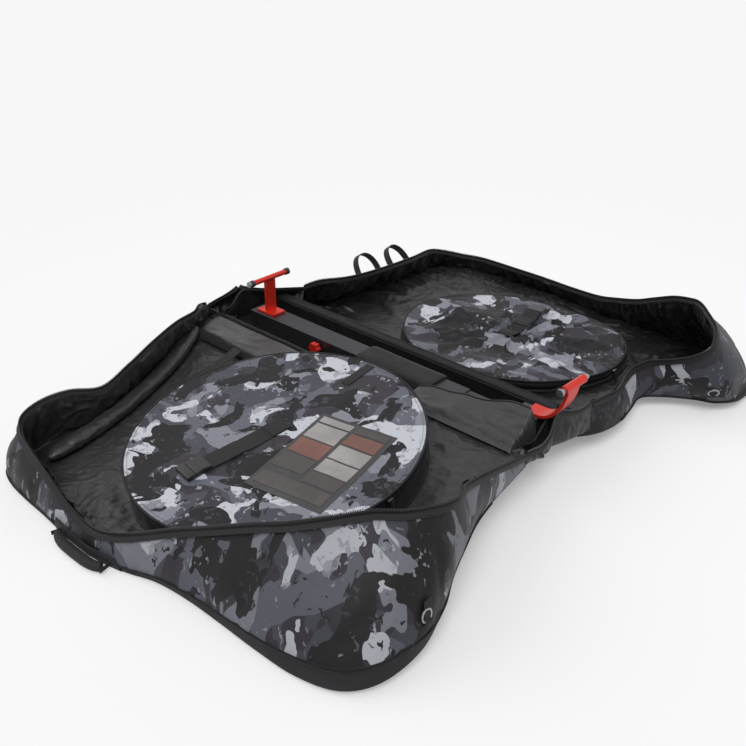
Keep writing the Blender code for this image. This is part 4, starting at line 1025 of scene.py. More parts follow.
@dataclass
class HalfShell:
    """The cloth of one half: printed wall, black bottom, lining, bound rim and zip."""

    form: HalfForm
    palette: Palette
    wall_rings: int = 18
    floor_rings: int = 26
    stray: float = 0.004
    stitch_pitch: float = 0.0055

    def __post_init__(self) -> None:
        """Works out the names."""
        self.name = self.form.sizes.name
        self.body = self.name + "_half"

    def build(self) -> None:
        """Makes all the cloth of the half."""
        self._outer()
        self._liner()
        self._seam()
        self._rim()
        self._hinge_strip()
        self._stitches()

    def _centre(self) -> Points:
        """Gives the middle of the panel, under the wheel bag.

        Returns:
            One point.
        """
        place = self.form.bag.translation
        across = abs(place.y)
        return np.array([place.x, place.y, self.form.panel_height(np.array([across]))[0]])

    def _outer(self) -> None:
        """Makes the printed wall and the black bottom."""
        form = self.form
        shares = np.linspace(1, 0, self.wall_rings + 1)
        rings = [form.ring(float(share)) for share in shares]
        count = len(form.positions)
        for share, ring in zip(shares, rings):
            out = form.outward(form.positions)
            wall = ring[:count]
            swell = cloud(wall, (7.0, 7.0, 5.0), 3.0) * 0.5 + cloud(wall, (16.0, 16.0, 9.0), 8.0) * 0.3
            folds = creases(wall, (15.0, 15.0, 4.0), 21.0, 3.0)
            fade = math.sin(math.pi * share)**0.7
            ends = np.minimum(np.minimum(np.arange(count), np.arange(count)[::-1]) / 20, 1)
            shift = (swell * 0.010 - folds * 0.006) * fade * ends
            ring[:count] += out * shift[:, None]
            long, wide = LENGTH / 2 + self.stray, HALF_OUTER + self.stray
            ring[:] = np.clip(ring, (-long, -wide, 0.0004), (long, wide, 1))
        centre = self._centre()
        foot = rings[-1]
        for share in np.linspace(1, 0, 6)[1:]:
            rings.append(centre + (foot - centre) * share)
        item = loft(self.name + "_outer_cloth", np.array(rings), wrap=True, span=(4.0, 0.5))
        seam = self.form.sizes.seam_share
        face_outwards(item)
        self._face_down(item)
        self._assign(item, lambda middle: self._is_bottom(middle, seam))
        thicken(item, CLOTH_SKIN, material_offset=2)
        palette = self.palette
        # The wall takes the darker print, which is painted shade.
        place_piece(item, self.body, (palette.wall_print_painted_shade, palette.canvas, palette.lining, palette.lining),
                    (self.name + "_shell",))

    @staticmethod
    def _face_down(item: Item) -> None:
        """Turns the faces so that the largest flat one looks down.

        Args:
            item: the open tub of cloth.
        """
        down = sum(face.area * face.normal.z for face in item.data.polygons)
        if down > 0:
            in_edit_mode(item, lambda: bpy.ops.mesh.flip_normals())

    def _is_bottom(self, middle: Vector, seam: float) -> bool:
        """Tells whether a face is part of the black bottom.

        Args:
            middle: the face's middle.
            seam: the seam's height as a share of the rim's greatest height.

        Returns:
            True below the seam and beside the hinge.
        """
        if abs(middle.y) < HINGE_INNER + 0.006:
            return True
        base = self.form.panel_height(np.array([abs(middle.y)]))[0]
        return middle.z < max(base, 0) + RIM_HEIGHT * seam * float(self._seam_rise(np.array([middle[:]]))[0])

    @staticmethod
    def _seam_rise(places: Points) -> Points:
        """Gives how high the black bottom climbs: most at the outer front corner, least beside the base.

        Args:
            places: points of the wall.

        Returns:
            Shares from nearly zero to one.
        """
        front = np.clip((places[:, 0] - 0.1) / 0.4, 0, 1)
        outer = np.clip((np.abs(places[:, 1]) - 0.52) / 0.18, 0, 1)
        return (0.35 + 0.65 * front) * (0.12 + 0.88 * outer)

    @staticmethod
    def _assign(item: Item, second: Callable[[Vector], bool]) -> None:
        """Gives some faces the second material.

        Args:
            item: the piece.
            second: tells by a face's middle whether it takes the second material.
        """
        item.data.materials.append(None)
        item.data.materials.append(None)
        for face in item.data.polygons:
            face.material_index = 1 if second(face.center) else 0

    def _liner(self) -> None:
        """Makes the loose lining inside the wall and over the panel."""
        form = self.form
        bag = form.sizes.wheel_bag
        count = len(form.positions)
        inward = -form.outward(form.positions)
        middle = np.array(form.bag.translation)
        rings, held = [], []
        for share in np.linspace(1, 0, self.wall_rings + 1):
            ring = form.ring(float(share)).copy()
            fade = math.sin(math.pi * (0.06 + 0.94 * share))**0.6 if share < 1 else 0.0
            wall = ring[:count]
            folds = creases(wall, (13.0, 13.0, 2.0), 31.0, 1.2) * 0.010
            folds += creases(wall, (6.0, 6.0, 5.0), 41.0, 1.5) * 0.010
            ring[:count] += inward * (0.0042 + folds[:, None] * fade)
            ring[count:, 1] += form.side * 0.0035
            ring[:, 2] += 0.0032 * (1 - share)
            rings.append(ring)
            hold = np.full(len(ring), 1.0 if share > 0.98 or share < 0.02 else 0.0)
            hold[count:] = 1.0
            held.append(hold)
        centre = self._centre()
        centre[2] += 0.0045
        foot = rings[-1].copy()
        for share in np.concatenate([np.linspace(1, 0.46, self.floor_rings)[1:], (0.3, 0.15, 0.0)]):
            ring = centre + (foot - centre) * share
            clear = np.linalg.norm(ring[:, :2] - middle[:2], axis=1) - bag.radius
            free = np.clip((clear - 0.010) / 0.05, 0, 1) * min((1 - share) * 9, 1)
            hinge = np.clip((np.abs(ring[:, 1]) - HINGE_INNER) / 0.05, 0, 1)
            folds = creases(ring, (5.0, 8.0, 1.0), 51.0, 1.3) * 0.008
            folds += creases(ring, (14.0, 9.0, 1.0), 61.0, 1.6) * 0.003
            ring[:, 2] += folds * free * hinge * self._quiet(ring)
            rings.append(ring)
            held.append(np.where((clear < 0.012) | (hinge < 0.1), 1.0, 0.0))
        item = loft(self.name + "_liner", np.array(rings), wrap=True, span=(4.0, 0.8))
        face_outwards(item)
        self._face_down(item)
        in_edit_mode(item, lambda: bpy.ops.mesh.flip_normals())
        tree = nearest(np.concatenate(rings))
        firm = np.concatenate(held)
        drape(item, np.array([firm[tree.find(vertex.co)[1]] for vertex in item.data.vertices]), 0.032, 0.020)
        in_edit_mode(item, lambda: bpy.ops.mesh.subdivide(number_cuts=1, smoothness=1.0))
        displace(item, self._wrinkles)
        near = form.sizes.side is Side.NEAR
        # The far half takes the darker lining, which is painted shade.
        lining = self.palette.lining if near else self.palette.lining_painted_shade
        place_piece(item, self.body, (lining,), ())
        if near:
            self._rear_roll()
            self._rear_pad()

    def _quiet(self, ring: Points) -> Points:
        """Keeps the folds low under the roll, the pad and the band at the rear of the near half.

        Args:
            ring: points of the lining.

        Returns:
            One where the cloth is free, less where it is pressed down.
        """
        if self.form.sizes.side is Side.FAR:
            return np.ones(len(ring))
        return 0.15 + 0.85 * np.clip((ring[:, 0] + 0.36) / 0.08, 0, 1)

    def _wrinkles(self, places: Points) -> Points:
        """Gives the lining's fine folds: gathers below the rim and a few long wrinkles on the panel.

        Args:
            places: points of the lining.

        Returns:
            The height to add at each point.
        """
        tree = nearest(self.form.wall(self.form.positions, 1.0))
        below = np.array([tree.find(place)[2] for place in places])
        middle = np.array(self.form.bag.translation)[:2]
        clear = np.linalg.norm(places[:, :2] - middle, axis=1) - self.form.sizes.wheel_bag.radius
        past_hinge = np.clip((np.abs(places[:, 1]) - HINGE_INNER - 0.012) / 0.03, 0, 1)
        free = np.clip((clear - 0.008) / 0.03, 0, 1) * past_hinge
        gathers = creases(places, (40.0, 40.0, 5.0), 111.0, 1.8) * 0.0105
        gathers *= np.exp(-below / 0.09) * np.clip((below - 0.008) / 0.02, 0, 1)
        patchy = np.clip(cloud(places, (5.0, 5.0, 5.0), 121.0) * 2.5 + 0.35, 0, 1)
        long_ones = creases(places, (9.0, 24.0, 9.0), 131.0, 3.0) * 0.0075
        long_ones += creases(places, (26.0, 11.0, 12.0), 141.0, 3.0) * 0.0055
        return gathers * np.clip(clear / 0.02, 0, 1) + long_ones * patchy * free * self._quiet(places)

    def _panel_top(self, plan: Points, lift: float) -> Points:
        """Places plan points over the sloping panel."""
        return np.column_stack([plan, self.form.panel_height(np.abs(plan[:, 1])) + PANEL + lift])

    def _rear_roll(self) -> None:
        """Lays the padded roll along the rear of the near half."""
        marks = np.array([(-0.405, -0.795), (-0.411, -0.72), (-0.414, -0.645), (-0.432, -0.556),
                          (-0.449, -0.501), (-0.478, -0.401), (-0.535, -0.290), (-0.592, -0.205)])
        plan = sample(np.linspace(0, len(marks) - 1, 130), np.arange(len(marks)), marks)
        even_out(plan, 60)
        path = self._panel_top(plan, 0.0205)
        run = heading(path)
        across = unit(np.cross(run, tiled(UP, path)))
        item = soft_tube("near_rear_roll", path, across, np.cross(across, run), 0.046, 0.034, 0.0030, 7.0)
        place_piece(item, self.body, (self.palette.lining,), (), 80)

    def _rear_pad(self) -> None:
        """Lays the soft pad beside the base, between the hinge and the rear of the wheel bag."""
        bag = np.array(self.form.bag.translation)[:2]
        wide, long = 40, 60
        rows = []
        for share in np.linspace(0, 1, wide):
            across = -0.121 - 0.108 * share
            reach = math.sqrt((self.form.sizes.wheel_bag.radius + 0.018)**2 - (across - bag[1])**2)
            x = np.linspace(-0.598 + 0.05 * share**2, min(bag[0] - reach, -0.14), long)
            rows.append(np.column_stack([x, np.full(long, across)]))
        plan = np.array(rows)
        share = np.linspace(0, 1, wide)[:, None]
        along = np.linspace(0, 1, long)[None]
        ends, flanks = np.minimum(along, 1 - along) * 14, np.minimum(1 - share, share + 0.02) * 9
        edge = np.clip(np.minimum(ends, flanks), 0, 1)
        thick = (0.004 + 0.024 * share**0.8) * np.sqrt(1 - (1 - edge)**2)
        base = self._panel_top(plan.reshape(-1, 2), 0.009).reshape(wide, long, 3)
        top = base.copy()
        folds = creases(base, (8.0, 20.0, 9.0), 15.0, 2.0) * 0.004 + cloud(base, (11, 11, 11), 4.0) * 0.002
        top[..., 2] += thick + folds * edge
        low = base.copy()
        low[..., 2] -= 0.002 * edge
        ring = np.concatenate([top, low[::-1]], axis=0).transpose(1, 0, 2)
        item = loft("near_rear_pad", ring, wrap=True, caps=True, span=(0.3, 0.4))
        place_piece(item, self.body, (self.palette.lining,), (), 80)

    def _seam(self) -> None:
        """Runs a thin piping along the seam between the wall and the bottom."""
        form = self.form
        keep = form.positions[(form.positions > 2) & (form.positions < len(form.rows) - 3)]
        wanted = RIM_HEIGHT * form.sizes.seam_share * self._seam_rise(form.wall(keep, 0.1))
        rim, foot = form.rim_and_foot(keep)
        share = np.clip(wanted / np.maximum(rim[:, 2] - foot[:, 2], 0.02), 0, 0.6)
        layers = np.array([form.wall(keep, float(level)) for level in np.linspace(0, 0.6, 13)])
        index = share / 0.05
        low = np.minimum(index.astype(int), 11)
        part = (index - low)[:, None]
        columns = np.arange(len(keep))
        path = layers[low, columns] * (1 - part) + layers[low + 1, columns] * part
        out = form.outward(keep)
        path = path + out * 0.0015
        item = sweep(self.name + "_seam_piping", path, out, tiled(UP, path), oval(0.004, 0.004, 6))
        place_piece(item, self.body, (self.palette.binding,), ())

    def _rim(self) -> None:
        """Folds the binding over the rim and stands the zip on it."""
        path, inward, rise = self.form.rim_frame()
        outer = np.array([(-0.0042, 0.001), (-0.0048, -0.005), (-0.0046, -0.0105), (-0.0034, -0.0105),
                          (-0.0030, -0.004), (0.0022, -0.003), (0.0034, -0.0105), (0.0046, -0.0105),
                          (0.0050, -0.005), (0.0044, 0.001), (0.0026, 0.0036), (-0.0026, 0.0036)])
        item = sweep(self.name + "_rim_binding", path, inward, rise, outer)
        place_piece(item, self.body, (self.palette.binding,), (self.name + "_rim_zip",))
        below = path - inward * 0.0040 - rise * 0.0005
        cord = sweep(self.name + "_rim_piping", below, inward, rise, oval(0.005, 0.005, 8))
        place_piece(cord, self.body, (self.palette.gusset,), ())
        lean = unit(inward * 0.75 + rise * 0.66)
        flat = unit(rise * 0.75 - inward * 0.66)
        base = path + lean * 0.0048 + rise * 0.001
        item = sweep(self.name + "_zip_tape", base, lean, flat, oval(0.0095, 0.0012, 8, 4.0))
        place_piece(item, self.body, (self.palette.binding,), ())
        teeth = bead_row(self.name + "_zip_teeth", path + lean * 0.0096 + rise * 0.001, lean, flat, 0.0042,
                         (0.0021, 0.0046, 0.0030), 0.004)
        place_piece(teeth, self.body, (self.palette.teeth,), (), 30)

    def _hinge_strip(self) -> None:
        """Joins the half to the base with a strip of fabric that bends over the piping."""
        side = self.form.side
        start, end = PAN_REAR + 0.045, PAN_FRONT - 0.045
        x = np.linspace(start, end, 120)
        profile = ((0.0945, 0.1035), (0.0965, 0.1125), (0.1005, 0.1165), (0.1045, 0.1178), (0.1085, 0.1195),
                   (0.1112, 0.1225), (0.1128, 0.1185))
        rows = []
        for across, height in profile:
            wave = cloud(np.stack([x, np.full_like(x, across), np.full_like(x, height)], 1), (30, 6, 6), 4.0)
            rows.append(np.stack([x, np.full_like(x, side * across), height + 0.0012 * wave], 1))
        item = loft(self.name + "_hinge_fabric", np.array(rows), span=(end - start, 0.03))
        thicken(item, HINGE_SKIN)
        blend_piece(item, self.palette.canvas,
                    replaced=(self.name + "_hinge_piping",))

    def _stitches(self) -> None:
        """Runs a row of stitches along the binding."""
        path, inward, rise = self.form.rim_frame()
        line = path - inward * 0.0052 - rise * 0.0078
        item = stitch_row(self.name + "_binding_stitches", line, rise, -inward, self.stitch_pitch)
        place_piece(item, self.body, (self.palette.thread,), (), 30)


def bead_row(name: str, path: Points, across: Points, out: Points, pitch: float,
             size: tuple[float, float, float], margin: float) -> Item:
    """Sets small boxes at even steps along a path.

    Args:
        name: the piece's name.
        path: the line that the boxes follow.
        across: the direction across the line at each point.
        out: the direction out of the cloth at each point.
        pitch: the distance from one box to the next.
        size: a box's length, width and height.
        margin: what stays free at each end of the path.

    Returns:
        The new object.
    """
    gone = distances(path)
    marks = np.arange(margin, gone[-1] - margin, pitch)
    spots = sample(marks, gone, path)
    side, up = unit(sample(marks, gone, across)), unit(sample(marks, gone, out))
    bpy.ops.mesh.primitive_cube_add(size=1)
    item = bpy.context.object
    item.name = name
    row = item.modifiers.new("Row", "ARRAY")
    row.count = len(spots)
    row.relative_offset_displace = (BEAD_GAP, 0, 0)
    apply_all(item)
    local = read_points(item)
    which = np.clip(np.rint(local[:, 0] / BEAD_GAP).astype(int), 0, len(spots) - 1)
    local[:, 0] -= which * BEAD_GAP
    local *= size
    placed = spots[which] + np.cross(side, up)[which] * local[:, :1]
    write_points(item, placed + side[which] * local[:, 1:2] + up[which] * local[:, 2:])
    face_outwards(item)
    return item


def stitch_row(name: str, path: Points, across: Points, out: Points, pitch: float) -> Item:
    """Makes a row of short stitches along a path."""
    share, width, height = STITCH
    return bead_row(name, path, across, out, pitch, (pitch * share, width, height), pitch)


@dataclass
class WheelBag:
    """A round wheel bag with its gusset, zip, lid, piping, strap and buckle."""

    form: HalfForm
    palette: Palette
    segments: int = 168
    lid_rise: float = 0.0063
    stitch_inset: float = 0.0085
    stitch_pitch: float = 0.0055
    strap_length: float = 0.232
    strap_width: float = 0.050
    tab_width: float = 0.025
    buckle_width: float = 0.054
    buckle_height: float = 0.0105
    socket_length: float = 0.040
    plug_length: float = 0.022

    def __post_init__(self) -> None:
        """Works out the names, the heights and the angles."""
        self.name = self.form.sizes.name
        self.sizes = self.form.sizes.wheel_bag
        self.lid_body = self.name + "_lid"
        self.half_body = self.name + "_half"
        self.top = self.sizes.depth
        self.lid_top = self.top + self.lid_rise
        self.turns = np.linspace(0, 2 * math.pi, self.segments, endpoint=False)

    def world(self, points: Points) -> Points:
        """Moves points from the bag's own frame to the whole bag's."""
        matrix = np.array(self.form.bag)
        return points @ matrix[:3, :3].T + matrix[:3, 3]

    def edge(self, turns: Points) -> tuple[Points, Points]:
        """Gives the lid's edge: how far out and how low it lies.

        Args:
            turns: angles about the middle.

        Returns:
            The radius and the drop at each angle.
        """
        slack = self.sizes.slack
        far_way = math.pi / 2 * self.form.side
        slump = np.exp(-((np.angle(np.exp(1j * (turns - far_way))) / 0.9)**2))
        wave = np.sin(turns * 5 + 0.6) * 0.4 + np.sin(turns * 3 + 2.1) * 0.6
        radius = self.sizes.radius * (1 - slack * (0.085 * slump + 0.012 * (wave + 1)))
        drop = slack * (0.004 + 0.007 * slump + 0.003 * wave) + 0.0008 * np.sin(turns * 7 + 1.0)
        return radius, drop

    def height(self, x: Points, y: Points) -> Points:
        """Gives the height of the lid's cloth.

        Args:
            x: places along the bag.
            y: places across the bag.

        Returns:
            The heights in the bag's own frame.
        """
        reach = np.hypot(x, y)
        turns = np.arctan2(y, x)
        radius, drop = self.edge(turns)
        share = np.clip(reach / radius, 0, 1)
        places = np.stack([x, y, np.full_like(x, self.sizes.radius)], -1)
        if self.sizes.slack > 0:
            fan = np.stack([np.cos(turns) * 0.55, np.sin(turns) * 0.55, share * 0.12], -1)
            rays = creases(fan, (5.5, 5.5, 5.0), 77.0, 2.5)
            soft = creases(places, (7.0, 7.0, 1.0), 71.0, 2.0)
            sag = -0.012 * (1 - share**2) - 0.006 * (1 - share)
            folds = rays * 0.020 * np.sin(math.pi * share)**0.7 + soft * 0.013 * (1 - share**4)
            return self.lid_top - drop + sag + folds
        soft = cloud(places, (5.0, 5.0, 1.0), 13.0) * 0.0022
        soft += creases(places, (9.0, 9.0, 1.0), 17.0, 3.0) * 0.0016
        return self.lid_top - drop - 0.0026 * (1 - share**2) + soft * (1 - share**6)

    def build(self) -> None:
        """Makes all of the wheel bag."""
        self._gusset()
        self._lid()
        self._zip()
        self._strap()
        self._buckle()
        self._pull()

    def _ring_path(self, radius: Points, height: Points) -> tuple[Points, Points, Points]:
        """Gives a ring with its outward and upward directions.

        Args:
            radius: how far out it lies at each angle.
            height: how high it lies at each angle.

        Returns:
            The path, the outward and the upward directions.
        """
        cos, sin = np.cos(self.turns), np.sin(self.turns)
        path = self.world(np.stack([cos * radius, sin * radius, height], 1))
        matrix = np.array(self.form.bag)[:3, :3]
        out = np.stack([cos, sin, np.zeros_like(cos)], 1) @ matrix.T
        up = np.tile(matrix[:, 2], (len(cos), 1))
        return path, out, up

    def _gusset(self) -> None:
        """Makes the black side and bottom of the bag."""
        edge, drop = self.edge(self.turns)
        cos, sin = np.cos(self.turns), np.sin(self.turns)
        rows = []
        for level in np.linspace(0, 1, 11):
            radius = self.sizes.radius * (1 - level) + edge * level
            height = (self.top - drop) * level
            places = np.stack([cos * radius, sin * radius, height], 1)
            belly = math.sin(math.pi * level)
            folds = creases(places, (10.0, 10.0, 14.0), 19.0, 2.0) * 0.007
            folds += cloud(places, (14, 14, 20), 2.0) * 0.003
            radius = radius - belly * (folds * (1 + self.sizes.slack * 1.5)) - 0.002
            rows.append(np.stack([cos * radius, sin * radius, height], 1))
        foot = rows[0]
        for share in (0.85, 0.5, 0.0):
            rows.insert(0, foot * (share, share, 1))
        item = loft(self.name + "_bag_gusset", self.world(np.array(rows)), wrap=True, span=(2.1, 0.4))
        face_outwards(item)
        thicken(item, CLOTH_SKIN)
        place_piece(item, self.half_body, (self.palette.gusset,), (self.name + "_wheel_bag",))
        radius, height = self.sizes.radius - 0.001, 0.0035
        path, out, up = self._ring_path(np.full(self.segments, radius), np.full(self.segments, height))
        ring = sweep(self.name + "_bag_foot_piping", path, out, up, oval(0.005, 0.005, 6), closed=True)
        place_piece(ring, self.half_body, (self.palette.gusset,), ())

    def _lid(self) -> None:
        """Makes the printed lid, soft at its edge, with its piping."""
        edge, drop = self.edge(self.turns)
        cos, sin = np.cos(self.turns), np.sin(self.turns)
        rows = []
        for share in np.concatenate([[0.0], np.linspace(0.03, 0.985, 60)]):
            x, y = cos * edge * share, sin * edge * share
            rows.append(np.stack([x, y, self.height(x, y)], 1))
        for out, down in ((0.996, 0.0012), (1.0, 0.0032), (0.996, 0.0052), (0.97, 0.0058), (0.6, 0.0060),
                          (0.0, 0.0060)):
            x, y = cos * edge * out, sin * edge * out
            inner = np.minimum(out, 0.98)
            top = self.height(cos * edge * inner, sin * edge * inner)
            rows.append(np.stack([x, y, np.minimum(top, self.lid_top - drop) - down], 1))
        item = loft(self.name + "_lid_cloth", self.world(np.array(rows)), wrap=True, span=(2.1, 0.4))
        face_outwards(item)
        # The lid takes the lighter print, which is painted light.
        materials = (self.palette.print, self.palette.gusset)
        place_piece(item, self.lid_body, materials, (self.name + "_wheel_lid",), 80)
        for face in item.data.polygons:
            face.material_index = int(face.normal.z < -0.3)
        path, out, up = self._ring_path(edge + 0.0005, self.lid_top - drop - 0.0022)
        ring = sweep(self.name + "_lid_piping", path, out, up, oval(0.0062, 0.0062, 8), closed=True)
        place_piece(ring, self.lid_body, (self.palette.binding,), ())
        inner = edge - self.stitch_inset
        path, out, up = self._ring_path(inner, self.height(cos * inner, sin * inner) + 0.0003)
        item = stitch_row(self.name + "_lid_stitches", path, out, up, self.stitch_pitch)
        place_piece(item, self.lid_body, (self.palette.thread,), (), 30)

    def _zip(self) -> None:
        """Runs the zip round the top of the gusset."""
        edge, drop = self.edge(self.turns)
        path, out, up = self._ring_path(edge + 0.0006, self.top - drop - 0.0062)
        item = sweep(self.name + "_bag_zip_tape", path, up, out, oval(0.0125, 0.0014, 8, 4.0), closed=True)
        place_piece(item, self.half_body, (self.palette.binding,), ())
        path, out, up = self._ring_path(edge + 0.0016, self.top - drop - 0.0052)
        teeth = stitch_row(self.name + "_bag_zip_teeth", path, up, out, 0.0036)
        place_piece(teeth, self.half_body, (self.palette.teeth,), (), 30)

    def ribbon(self, name: str, start: Points, end: Points, width: float, lift: float,
               thick: float = 0.0018) -> Item:
        """Lays a webbing ribbon over the lid.

        Args:
            name: the piece's name.
            start: its start in the bag's own frame.
            end: its end.
            width: its width.
            lift: how far its middle lies over the cloth.
            thick: its thickness.

        Returns:
            The new object.
        """
        way = end - start
        length = float(np.linalg.norm(way))
        count = max(int(length / 0.006), 8)
        line = start + way * np.linspace(0, 1, count)[:, None]
        side = np.array((way[1], -way[0])) / length
        shifted = [line + side * width * part for part in (-0.5, -0.25, 0, 0.25, 0.5)]
        height = np.max([self.height(places[:, 0], places[:, 1]) for places in shifted], axis=0)
        local = np.stack([line[:, 0], line[:, 1], height + lift], 1)
        path = self.world(local)
        matrix = np.array(self.form.bag)[:3, :3]
        across = tiled(np.array((*side, 0)) @ matrix.T, path)
        up = unit(np.cross(heading(path), across))
        if up[0] @ matrix[:, 2] < 0:
            up = -up
        section = np.array([(-0.5, -0.35), (-0.5, 0.35), (-0.47, 0.5), (-0.2, 0.46), (0.2, 0.46), (0.47, 0.5),
                            (0.5, 0.35), (0.5, -0.35), (0.47, -0.5), (0, -0.5), (-0.47, -0.5)])
        return sweep(name, path, across, up, section * (width, thick))

    def _strap_line(self) -> tuple[Points, Points]:
        """Gives where the wide strap starts and the way that it runs.

        Returns:
            The start and the unit direction.
        """
        side = self.form.side
        spin = turned(side * LID_TURN)
        return spin @ np.array((-0.022, -side * 0.044)), spin @ np.array((0.0, side))

    def _strap(self) -> None:
        """Lays the wide strap with its folded end and its tail, and on the near lid the tab."""
        start, way = self._strap_line()
        end = start + way * self.strap_length
        wide = self.strap_width
        ribbons = [
            (self.name + "_strap_webbing", start, end, wide, 0.0014, (self.name + "_lid_strap",)),
            (self.name + "_strap_fold", start + way * 0.004, start + way * 0.05, wide - 0.001, 0.0034, ()),
            (self.name + "_strap_tail", end - way * 0.11, end - way * 0.012, wide - 0.002, 0.0036, ()),
        ]
        if not self.sizes.slack:
            inner, outer = (np.array((-0.0125, -self.form.side * across)) for across in (0.237, 0.330))
            ribbons.append(("near_tab_webbing", inner, outer, self.tab_width, 0.0014, ("near_lid_tab",)))
        for name, first, last, width, lift, nodes in ribbons:
            item = self.ribbon(name, first, last, width, lift)
            place_piece(item, self.lid_body, (self.palette.webbing,), nodes)

    def _buckle(self) -> None:
        """Makes the side release buckle: socket on the strap, plug in it."""
        start, way = self._strap_line()
        end = start + way * 0.250
        side = np.array((way[1], -way[0]))
        for part, middle, body, length in (("socket", -0.020, self.lid_body, self.socket_length),
                                           ("plug", 0.0115, self.name + "_plug", self.plug_length)):
            spot = end + way * middle
            base = float(self.height(spot[:1], spot[1:])[0]) if self.sizes.slack else self.lid_top
            bpy.ops.mesh.primitive_cube_add(size=1)
            item = bpy.context.object
            item.name = f"{self.name}_buckle_{part}_body"
            item.data.transform(Matrix.Diagonal((self.buckle_width, length, self.buckle_height, 1)))
            if part == "socket":
                in_edit_mode(item, lambda: bpy.ops.mesh.subdivide(number_cuts=3))
                for vertex in item.data.vertices:
                    vertex.co.x *= 1 - 0.13 * math.cos(vertex.co.y / self.socket_length * math.pi)**2
            step = item.modifiers.new("Bevel", "BEVEL")
            step.width = 0.0022
            step.segments = 3
            step.limit_method = "ANGLE"
            apply_all(item)
            local = read_points(item)
            flat = local[:, :2] @ np.stack([side, way]) + spot
            write_points(item, self.world(np.column_stack([flat, local[:, 2] + base + 0.0082])))
            face_outwards(item)
            nodes = (f"{self.name}_buckle_{part}",)
            place_piece(item, body, (self.palette.plastic,), nodes, 40)

    def _pull(self) -> None:
        """Makes the webbing pull that hangs from the zip slider."""
        low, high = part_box(self.name + "_lid_pull")
        middle = (low + high) / 2
        count = 14
        drop = np.linspace(0, 1, count)
        height = high.z + (low.z - high.z) * drop
        path = np.stack([middle.x + 0.002 * np.sin(drop * 3), np.full(count, middle.y), height], 1)
        across, up = tiled(ACROSS, path), tiled((1.0, 0.0, 0.0), path)
        item = sweep(self.name + "_slider_pull_webbing", path, across, up, oval(0.010, 0.0026, 10, 4.0))
        nodes = (self.name + "_lid_pull",)
        place_piece(item, self.name + "_slider_pull", (self.palette.webbing,), nodes)


@dataclass
class Patch:
    """The plain sewn patch on the near lid, with blank panels."""

    bag: WheelBag
    palette: Palette
    ground: tuple[float, float] = (0.205, 0.280)
    offset: float = 0.150
    cell: float = 0.006
    thickness: float = 0.0006

    def _sheet(self, name: str, centre: tuple[float, float], size: tuple[float, float], lift: float,
               material: Material, nodes: Sequence[str] = ()) -> None:
        """Lays a thin rectangle on the lid.

        Args:
            name: the piece's name.
            centre: its middle on the patch.
            size: its length and width.
            lift: how far it lies over the cloth.
            material: its material.
            nodes: the nodes that it stands for.
        """
        columns, rows = (np.linspace(-0.5, 0.5, max(int(long / self.cell), 4)) * long + middle
                         for long, middle in zip(size, centre))
        flat = np.stack(np.meshgrid(columns, rows), -1) @ turned(LID_TURN).T + (self.offset, 0.0)
        height = self.bag.height(flat[..., 0], flat[..., 1]) + lift
        item = loft(name, self.bag.world(np.concatenate([flat, height[..., None]], -1)), span=size)
        thicken(item, self.thickness)
        place_piece(item, "near_lid", (material,), nodes)

    def build(self) -> None:
        """Makes the patch."""
        self._sheet("patch_ground", (0, 0), self.ground, 0.0012, self.palette.patch_base, ("near_lid_patch",))
        pale, mid, warm = self.palette.patch_pale, self.palette.patch_mid, self.palette.patch_warm
        left, right, wide = -0.050, 0.046, 0.086
        panels = ((left, 0.121, wide, 0.020, pale), (right, 0.121, wide, 0.020, mid),
                  (left, 0.078, wide, 0.054, pale), (left, 0.020, wide, 0.052, warm),
                  (left, -0.036, wide, 0.050, mid), (right, 0.086, wide, 0.040, warm),
                  (right, 0.038, wide, 0.046, pale), (right, -0.012, wide, 0.044, pale),
                  (right, -0.058, wide, 0.038, mid), (-0.002, -0.104, 0.182, 0.040, mid))
        for number, (x, y, across, along, material) in enumerate(panels):
            self._sheet(f"patch_panel_{number}", (x, y), (across, along), 0.0019, material)


